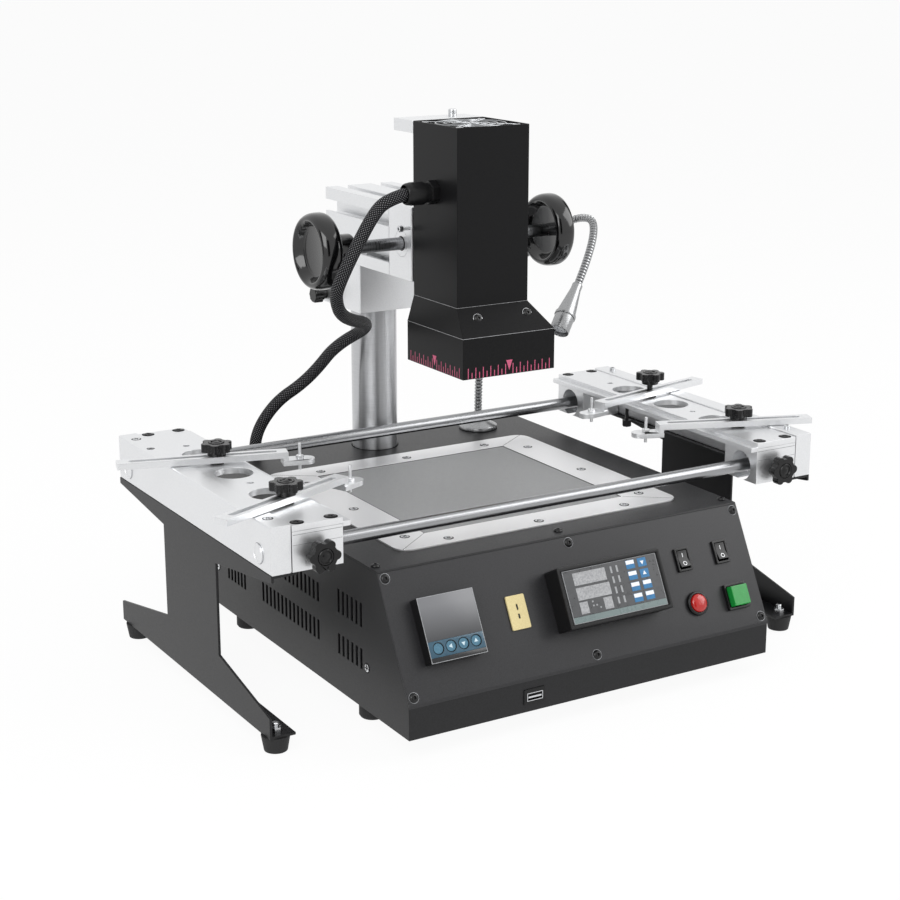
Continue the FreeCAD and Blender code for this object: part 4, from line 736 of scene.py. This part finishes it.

# Pinion and wheels: a ground shaft with a turned phenolic handwheel at each end, polished to a
# black gloss, the left one held by a grub screw in its hub.
shaft_y, shaft_z = 231, 318
shaft = turned("shaft_bar", [(-104, 0), (-104, 4.7), (-103.7, 5), (116.7, 5), (117, 4.7), (117, 0)], 48)
at(shaft, stand(place(0, shaft_y, shaft_z), (1, 0, 0)))
drawn_steel = surface("drawn steel bar", "#77787a", "#898a8c", (0.26, 0.34), metal=1.0, grain_mm=0.6,
                      depth=0.04, stretch=(1, 0.05, 0.05))
fit(shaft, drawn_steel, "wheels", "steel")
dress(drawn_steel, "pinion_shaft")
block_side = touch("pinion_block", -33, 239, shaft_z, (-1, 0, 0))
bush_spot = stand(Vector((block_side.x, place(0, shaft_y, 0).y, shaft_z / 1000)), (-1, 0, 0))
# A black ring round the shaft is painted shade in the gap at the block's face.
fit(at(washer("bush_gap", -0.1, 0.06, 5.05, 5.8, 40), bush_spot), painted_gap_shade, "boom_arm", "bright")
# Polished phenolic: deep black with a mirror skin.
black_gloss = surface("polished black phenolic", "#050506", "#09090a", (0.12, 0.16), grain_mm=6.0, depth=0.01,
                      **{"Coat Weight": 0.3, "Coat Roughness": 0.05})
wheel_rim = [(0, 11.5), (0.6, 17.6), (1, 19), (0.25, 23.0), (0, 25.2), (0.15, 26.4), (0.7, 27.6), (1.7, 28.6),
             (3.2, 29.25), (5, 29.6), (7.5, 29.6), (10, 29.5), (12.4, 29.1), (14.2, 28.4), (15.7, 27.4),
             (16.6, 26.4), (17, 25.3), (16.9, 24.4), (16.4, 23.6), (13.4, 21.6), (11.0, 20.0),
             (10.3, 19.3), (10, 18.2), (10, 0)]
wheels = []
for hub, x in ((20, -97), (6, 114)):
    outline = [(-hub, 0), (-hub, 10.1), (0.4 - hub, 10.9), (1.0 - hub, 11.3), (2.0 - hub, 11.5)] + wheel_rim
    wheels.append(at(turned("wheel", outline, 96), stand(place(x, shaft_y, shaft_z), (-1, 0, 0))))
fit(joined("wheel_pair", wheels), black_gloss, "wheels", "black_gloss", "handwheels")
hub_spots = [stand(place(-87, shaft_y - 11.2 * 0.94, shaft_z + 11.2 * 0.34), (0, -0.94, 0.34))]
fit(set_out("hub_grub", grub_screw, hub_spots), zinc_plate, "wheels", "bright")

# Head: a folded and coated sheet housing that widens into the heater's hood, with a dovetail
# rail and rack behind it, and an anodised cap bolted across the top.
# The head's coat is smoother and deeper black than the console's.
head_coat = surface("black powder coat on the head", "#111112", "#171718", (0.3, 0.42), grain_mm=0.9,
                    depth=0.12, detail=4.0, specular=0.12)
eased("head_housing", 0.35, head_coat, "black_sheet")
# Thin pale strips round the flare and the hood are painted highlights, for the light the folded edges catch.
hood_half, hood_front, hood_back, hood_low, hood_high = 40.9, 123.3, 206.5, 230.8, 261.9
painted_fold_highlight = surface("light along folded coat edges", "#9a9b9d", "#b2b3b5", (0.3, 0.4), grain_mm=3.0,
                    depth=0.02)
highlight_strips = []
for z, half, front, back in ((280.3, 31.6, 147.3, 212.4), (hood_high, hood_half, hood_front, hood_back)):
    for low, high in (((-half, front, z), (half, front, z)), ((-half, front, z), (-half, back, z)),
                      ((half, front, z), (half, back, z))):
        highlight_strips.append(slab("fold", [a - 0.14 for a in low], [b + 0.14 for b in high], 0.1))
fit(at(joined("fold_lines", highlight_strips), to_console), painted_fold_highlight, "head", "black_sheet")
dress(bright_steel, "head_rail", "guide_bars")
# The cap's bolt, which stands above the plate, is zinc plated.
cap_top = 0.41465
cap_plate = eased("head_cap", 0.5, satin_aluminium, "silver")
cap_plate.data.materials.append(zinc_plate)
for face in cap_plate.data.polygons:
    if face.center.z > cap_top:
        face.material_index = 1
flare_rim = turned("flare_rim", [(-0.4, 2.6), (0.1, 3.5), (0.22, 3.75), (0.1, 4.0), (-0.4, 4.0),
                                 (-0.4, 2.6)], 24)
flare_spots = [stand(touch("head_housing", x, 100, 273, (0, -1, 0)), (0, -0.85, 0.5)) for x in (-19, 25)]
fit(set_out("flare_screws", black_screw, flare_spots), black_oxide_and_slot_shade, "head", "black_sheet")
fit(set_out("flare_screw_rims", flare_rim, flare_spots), zinc_plate, "head", "bright")
# Scale: pink screen ink along the hood's lower edge, a tick every 3.3 mm, long and short.
ink_pink = surface("pink screen ink", "#bd4c6f", "#cb5c80", (0.4, 0.5), depth=0.02)
ticks = []
tick_pitch = 3.3
hood_middle, hood_reach = (hood_front + hood_back) / 2, (hood_back - hood_front) / 2
hood_sides = [((0, -1, 0), (1, 0, 0), (0, hood_front), hood_half),
              ((0, 1, 0), (-1, 0, 0), (0, hood_back), hood_half),
              ((-1, 0, 0), (0, -1, 0), (-hood_half, hood_middle), hood_reach),
              ((1, 0, 0), (0, 1, 0), (hood_half, hood_middle), hood_reach)]
for out, across, foot, half in hood_sides:
    lay = Matrix((across, (0, 0, 1), out)).transposed().to_4x4()
    lay.translation = place(*foot, hood_low)
    count = int((half - 2.5) / tick_pitch)
    for n in [*range(-count, 0), *range(1, count + 1)]:
        tall = 8.0 if n % 2 else 4.6
        u = tick_pitch * n
        ticks.append(at(slab("tick", (u - 0.34, 0.5, -0.1), (u + 0.34, 0.5 + tall, 0.06)), lay))
    arrow_lay = lay @ shift(0, 8.6) @ Matrix.Diagonal((1, 1.65, 1, 1))
    ticks.append(at(peg("arrow", -0.1, 0.07, 3.2, 3, -90), arrow_lay))
fit(joined("hood_scale", ticks), ink_pink, "head", "black_sheet")

# Head fan: a moulded frame and rotor under a guard of bright bent wire, held by four screws.
dress(moulded_black, "fan_frame", "fan_rotor")
fan_y, guard_z = 179.85, 413.9
wire_parts = []
for radius in (8.0, 14.5, 21.0, 27.5):
    middle = radius - 0.7
    section = [(0.5 * math.sin(math.radians(45 * n)), middle + 0.55 * math.cos(math.radians(45 * n)))
               for n in range(8)]
    wire_parts.append(at(turned("guard_ring", section + section[:1], 64), stand(place(0, fan_y, guard_z))))
for turn in (45, 135):
    wire_parts.append(at(slab("guard_spoke", (-34.5, -0.7, -0.5), (34.5, 0.7, 0.5), 0.3),
                         stand(place(0, fan_y, guard_z), turn=turn)))
wire_bright = surface("bright plated guard wire", "#8c8e90", "#9c9ea0", (0.2, 0.28), metal=1.0, grain_mm=0.8,
                      depth=0.02)
fit(joined("fan_guard", wire_parts), wire_bright, "head", "bright")
guard_spots = [stand(place(x, fan_y + y, guard_z - 0.3)) for x in (-25, 25) for y in (-25, 25)]
fit(set_out("guard_screws", cross_screw, guard_spots), zinc_plate, "head", "bright")

# Gland and head cable: a nylon gland holds two silicone leads in a black woven sleeve, which
# hangs in a loose bend and goes down through a rubber grommet into the console.
eased("head_gland", 0.4, moulded_black, "black_plastic")
eased("cable_grommet", 0.5, rubber, "rubber")
cable_diameter = 0.010
cable_points = [(-57.1, 179.85, 364), (-72, 180.05, 361), (-81.6, 184.05, 351.4), (-99.6, 186.05, 320.4),
                (-107.8, 190.05, 301), (-107.1, 200.05, 287.2), (-93.6, 215.05, 267.1), (-30, 280, 245),
                (-49, 312, 223.5), (-57.9, 330, 200.6), (-69, 340, 186), (-84.7, 350, 173), (-96.8, 358, 154),
                (-103, 360, 137.6), (-103, 360, 128.6)]


def smooth_line(name, points, steps):
    """A curve drawn smoothly past those points, from the first to the last."""
    curve = bpy.data.curves.new(name, "CURVE")
    curve.dimensions = "3D"
    route = curve.splines.new("NURBS")
    route.points.add(len(points) - 1)
    for point, spot in zip(route.points, points):
        point.co = (*place(*spot), 1)
    route.order_u = 3
    route.use_endpoint_u = True
    curve.resolution_u = steps
    return bpy.data.objects.new(name, curve)


bare = bpy.data.meshes.new_from_object(smooth_line("cable_line", cable_points, 16))
cable_middle = [v.co.copy() for v in bare.vertices]
cable_run = [0.0]
for before, after in zip(cable_middle, cable_middle[1:]):
    cable_run.append(cable_run[-1] + (after - before).length)

# Woven sleeve: polyester threads in two slants, dull black, fourteen round and 2.25 mm apart.
# They are drawn coarser than they are, so that they show.
threads_round, thread_pitch = 14, 0.00225
woven_sleeve = surface("black woven polyester sleeve", "#08080a", "#121214", (0.5, 0.65), grain_mm=1.5,
                       specular=0.15)
tree = woven_sleeve.node_tree
sleeve_map = add(tree, "ShaderNodeUVMap", uv_map="sleeve")
threads = []
for slant in (45, -45):
    slanted = add(tree, "ShaderNodeMapping", [("Vector", sleeve_map, 0)],
                  set={"Rotation": (0, 0, math.radians(slant))})
    threads.append(add(tree, "ShaderNodeTexWave", [("Vector", slanted, 0)],
                       set={"Scale": math.tau / 20 * math.sqrt(2)}))
braid = add(tree, "ShaderNodeMath", [(0, threads[0], "Fac"), (1, threads[1], "Fac")], operation="MULTIPLY")
# Pale flecks where the threads cross are painted glints.
painted_thread_glint = add(tree, "ShaderNodeMath", [(0, braid, 0)], operation="POWER", set={1: 4.5})
worked = add(tree, "ShaderNodeMixRGB", [("Fac", painted_thread_glint, 0), ("Color1", tree.nodes["shades"], 0)],
             set={"Color2": paint("#b4b4b8")})
recoloured(woven_sleeve, worked, braid, 0.6)

# The sleeve's rings are carried along the line without twist.
ring_sides = 24
ring_frames = []
ahead = (cable_middle[1] - cable_middle[0]).normalized()
side = ahead.orthogonal().normalized()
for n, middle in enumerate(cable_middle):
    before = cable_middle[max(n - 1, 0)]
    after = cable_middle[min(n + 1, len(cable_middle) - 1)]
    ahead = (after - before).normalized()
    side = (side - ahead * side.dot(ahead)).normalized()
    ring_frames.append((middle, side.copy(), ahead.cross(side)))


def sleeve_part(name, first, last):
    """The sleeve between two rings, closed at its ends, with threads counted round and along it."""
    verts, faces, marks = [], [], []
    for n in range(first, last + 1):
        middle, one, two = ring_frames[n]
        for m in range(ring_sides):
            turn = math.tau * m / ring_sides
            verts.append(middle + (one * math.cos(turn) + two * math.sin(turn)) * cable_diameter / 2)
    rows = last - first
    for n in range(rows):
        for m in range(ring_sides):
            here, there = n * ring_sides, (n + 1) * ring_sides
            nxt = (m + 1) % ring_sides
            faces.append((here + m, here + nxt, there + nxt, there + m))
            low, high = cable_run[first + n] / thread_pitch, cable_run[first + n + 1] / thread_pitch
            a, b = threads_round * m / ring_sides, threads_round * (m + 1) / ring_sides
            marks += [(a, low), (b, low), (b, high), (a, high)]
    faces.append(tuple(range(ring_sides))[::-1])
    faces.append(tuple(rows * ring_sides + m for m in range(ring_sides)))
    marks += [(0.5, 0.5)] * (2 * ring_sides)
    mesh = bpy.data.meshes.new(name)
    mesh.from_pydata(verts, [], faces)
    sheet = mesh.uv_layers.new(name="sleeve")
    for loop, mark in zip(sheet.data, marks):
        loop.uv = mark
    mesh.materials.append(woven_sleeve)
    piece = bpy.data.objects.new(name, mesh)
    link(piece)
    pick(piece)
    bpy.ops.object.shade_smooth_by_angle(angle=math.radians(50))
    return piece


# It is cut level with the boom and the clamp.
cuts = [0]
for share in (0.42, 0.70):
    cuts.append(next(n for n, run in enumerate(cable_run) if run > share * cable_run[-1]))
cuts.append(len(cable_middle) - 1)
for name, first, last, above, below in (("cable_upper", cuts[0], cuts[1], "head", "boom_arm"),
                                        ("cable_middle", cuts[1], cuts[2], "boom_arm", "clamp"),
                                        ("cable_lower", cuts[2], cuts[3], "clamp", "console")):
    part = sleeve_part(name, first, last)
    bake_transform(part)
    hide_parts("head_cable")

# Lamp: a magnetic base, a bending neck of wound steel ribbon and a turned cone, all in a
# satin nickel plate, with a small lens in its mouth.
# Satin nickel: plated over a brushed part, soft and slightly warm.
nickel = surface("satin nickel plate", "#949596", "#a8a9aa", (0.24, 0.34), metal=1.0, grain_mm=0.7,
                 depth=0.04)
lamp_foot = turned("lamp_foot", [(0, 0), (0, 16.4), (0.5, 17), (2.8, 17), (3.4, 16.6), (7.2, 8.6), (8, 7.6),
                                 (8.6, 5.4), (9.4, 4.7), (10.4, 4.6), (10.4, 0)], 64)
at(lamp_foot, stand(place(106, 338, plate_top)))
fit(lamp_foot, nickel, "console", "steel", "lamp_base")
lamp_tail, lamp_aim = (167, 275, 258), Vector((-0.624, -0.355, -0.695))
neck_points = [(106, 338, 136), (106, 338, 196), (124, 345, 252), (168, 352, 278), (206, 338, 309),
               (211, 300, 307), lamp_tail]
neck_line = smooth_line("neck_line", neck_points, 24)
link(neck_line)
# The ribbon's turns are drawn 3 mm apart, coarser than they are, so that they show.
rib = turned("neck_rib", [(0, 1.9), (0.35, 3.0), (0.9, 3.5), (2.1, 3.5), (2.65, 3.0), (3.0, 1.9)], 20)
at(rib, Matrix.Rotation(math.radians(90), 4, "Y"))
pick(rib)
row = rib.modifiers.new("row", "ARRAY")
row.fit_type = "FIT_CURVE"
row.curve = neck_line
row.use_merge_vertices = True
row.merge_threshold = 0.0001
bend = rib.modifiers.new("bend", "CURVE")
bend.object = neck_line
bend.deform_axis = "POS_X"
bpy.ops.object.modifier_apply(modifier=row.name)
bpy.ops.object.modifier_apply(modifier=bend.name)
bpy.data.objects.remove(neck_line)
rib.name = rib.data.name = "lamp_neck_ribs"
fit(rib, nickel, "console", "steel", "lamp_neck")
lamp_cone = turned("lamp_cone", [(-1.5, 0), (-1.5, 4.1), (-1, 4.6), (4, 4.6), (5, 4.75), (29.7, 8.5),
                                 (30, 9.2), (30.4, 9.35), (32.6, 9.35), (33, 9.2), (33.2, 8.6), (47.6, 8.6),
                                 (48, 8.4), (48, 7.8), (47.6, 7.6), (44, 7.6), (44, 0)], 64)
lamp_lay = stand(place(*lamp_tail), lamp_aim)
fit(at(lamp_cone, lamp_lay), nickel, "console", "steel", "lamp_head")
# Lens: a pressed clear acrylic bead over the light's chip.
lens_clear = surface("pressed clear acrylic lens", "#c9ccd0", "#dfe2e5", (0.05, 0.1), grain_mm=6.0,
                     depth=0.02, **{"Coat Weight": 0.5})
lens = turned("lamp_lens", [(43.8, 0), (43.8, 7.4), (44.6, 7.2), (45.9, 5.2), (46.6, 2.6), (46.8, 0)], 40)
fit(at(lens, lamp_lay), lens_clear, "console", "steel")

# Board frame: two folded and coated side brackets on rubber feet carry two anodised rails,
# and two ground bars run right across through the rails.
eased("side_brackets", 0.35, powder_coat, "black_sheet")
eased("outer_rails", 0.35, satin_aluminium, "silver")
bar_rows, bar_z = (67, 304.5), 146.2
bar_outline = [(-237.4, 0), (-237.4, 4.7), (-237.1, 5), (237.1, 5), (237.4, 4.7), (237.4, 0)]
bars = [at(turned("bar", bar_outline, 48), stand(place(0, y, bar_z), (1, 0, 0))) for y in bar_rows]
ground_bar = surface("ground guide bar steel", "#969799", "#a3a4a6", (0.24, 0.26), metal=1.0, grain_mm=0.6,
                     depth=0.0, stretch=(0.01, 1, 1), Anisotropic=0.85)
bars = joined("guide_bar_pair", bars)
lengthwise(bars, 0, ground_bar)
fit(bars, ground_bar, "console", "bright", "guide_bars")
flatter = Matrix.Diagonal((1, 1, 0.6, 1))
rail_left = [stand(place(-229.5, y, 169.48), turn=20) @ flatter for y in (68, 306)]
cross_screws("rail_screws_left", rail_left, "console", "bright")
cross_screws("rail_hole_left", [stand(place(-230.5, 274, 169.48), turn=40) @ flatter], "console", "bright",
             metal=dull_zinc_and_gap_shade, scale=0.8)
rail_right = [stand(place(229.5, y, 169.5), turn=20) for y in (68, 306)]
fit(set_out("rail_screws_right", cap_screw, rail_right), zinc_plate, "console", "bright")
disc = turned("disc", [(-0.6, 0), (-0.6, 7.2), (0.9, 7.2), (1.3, 6.8), (1.3, 5.6), (0.8, 5.2), (0.8, 0)], 40)
disc_spots = [stand(place(side * 237.5, y, bar_z), (side, 0, 0)) for side in (-1, 1) for y in bar_rows]
fit(set_out("bar_end_discs", disc, disc_spots), satin_aluminium, "console", "silver")
# A grey ring round each bar end disc is painted shade in the gap at its foot.
disc_gap = washer("disc_gap", -0.3, 0.05, 7.1, 7.55, 40)
fit(set_out("disc_gaps", disc_gap, disc_spots), dull_zinc_and_gap_shade, "console", "silver")
stud = turned("stud", [(0, 0), (0, 2.3)] + [(0.3 + 0.45 * n, 2.3 + 0.2 * (n % 2)) for n in range(14)]
              + [(6.6, 2.2), (6.9, 1.8), (6.9, 0)], 20)
stud = joined("stud", [stud, peg("stud_nut", 0, 3.4, 4.3, 6)])
stud_spots = [stand(place(side * 229, y, 14.0)) for side in (-1, 1) for y in (66, 320)]
fit(set_out("foot_studs", stud, stud_spots), zinc_plate, "console", "bright")

# Carriages: milled plates with a stepped ledge for the board, on end blocks that slide on
# bushes along the bars; each front block has a knob that locks it on its bar.
for node in ("carriage_left", "carriage_right", "end_blocks_left", "end_blocks_right"):
    eased(node, 0.35, satin_aluminium, "silver")
for side, word, body in ((-1, "left", "carriage_l"), (1, "right", "carriage_r")):
    spots = [stand(place(side * x, y, 168.38), turn=31 * x) for x in (189, 214.8) for y in (53.5, 318)]
    cross_screws("carriage_screws_" + word, spots, body, "silver", metal=black_oxide_and_slot_shade, scale=1.3)
    grubs = [stand(place(side * 202, 154.5, 167.6))]
    fit(set_out("carriage_grubs_" + word, grub_screw, grubs), zinc_plate, body, "bright")
    inner, outer = sorted((side * 183.2, side * 220.8))
    seams = [slab("seam", (inner, y - 0.06, z), (outer, y + 0.06, z + tall))
             for y in (48, 323.5) for z, tall in ((161.2, 0.35), (154.0, 0.25))]
    fit(at(joined("block_seams_" + word, seams), to_console), dull_zinc_and_gap_shade, body, "silver")
under_nut = turned("under_nut", [(-17.2, 0), (-17.2, 3.2), (-16.4, 4.2), (-11.4, 4.2), (-11.2, 1.6),
                                 (0.3, 1.6), (0.3, 0)], 6)
fit(at(under_nut, stand(place(181, 217, 161.4))), black_oxide_and_slot_shade, "carriage_r", "black_plastic")

# Board arms: slotted flat bars that swing and slide under their knobs, with a stepped tip, a
# steel pin and a nut that press on the board.
# Star knobs are moulded ABS, black and half glossy, with a raised ring and a domed middle.
knob_black = surface("half gloss moulded knob", "#070708", "#0d0d0e", (0.2, 0.3), grain_mm=1.2, depth=0.05,
                     specular=0.35)
crown = turned("crown", [(0, 0), (0, 5.7), (1.0, 5.7), (1.5, 5.3), (1.5, 4.5), (0.7, 4.0), (0.7, 3.4),
                         (1.2, 2.4), (1.6, 1.2), (1.7, 0)], 40)


def star_knob(node, crown_name, spot):
    """A star knob with its crown at that place."""
    eased(node, 0.5, knob_black, "black_plastic")
    body = frame["nodes"][node]["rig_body"]
    fit(set_out(crown_name, crown, [spot]), knob_black, body, "black_plastic")


for word, side, y, lift in (("front_left", -1, 95.5, 0), ("rear_left", -1, 213.5, 0),
                            ("front_right", 1, 95.5, 0), ("rear_right", 1, 213.5, 5)):
    eased("arm_" + word, 0.3, satin_aluminium, "silver")
    star_knob("knob_" + word, "knob_crown_" + word, stand(place(side * 202, y, 183.8 + lift)))
for word in ("left", "right"):
    node = "lock_knob_" + word
    low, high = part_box(node)
    spot = Vector(((low.x + high.x) / 2, low.y + 0.001, bar_z / 1000))
    star_knob(node, "lock_crown_" + word, stand(spot, (0, -1, 0)))
for pattern in patterns:
    bpy.data.objects.remove(pattern)
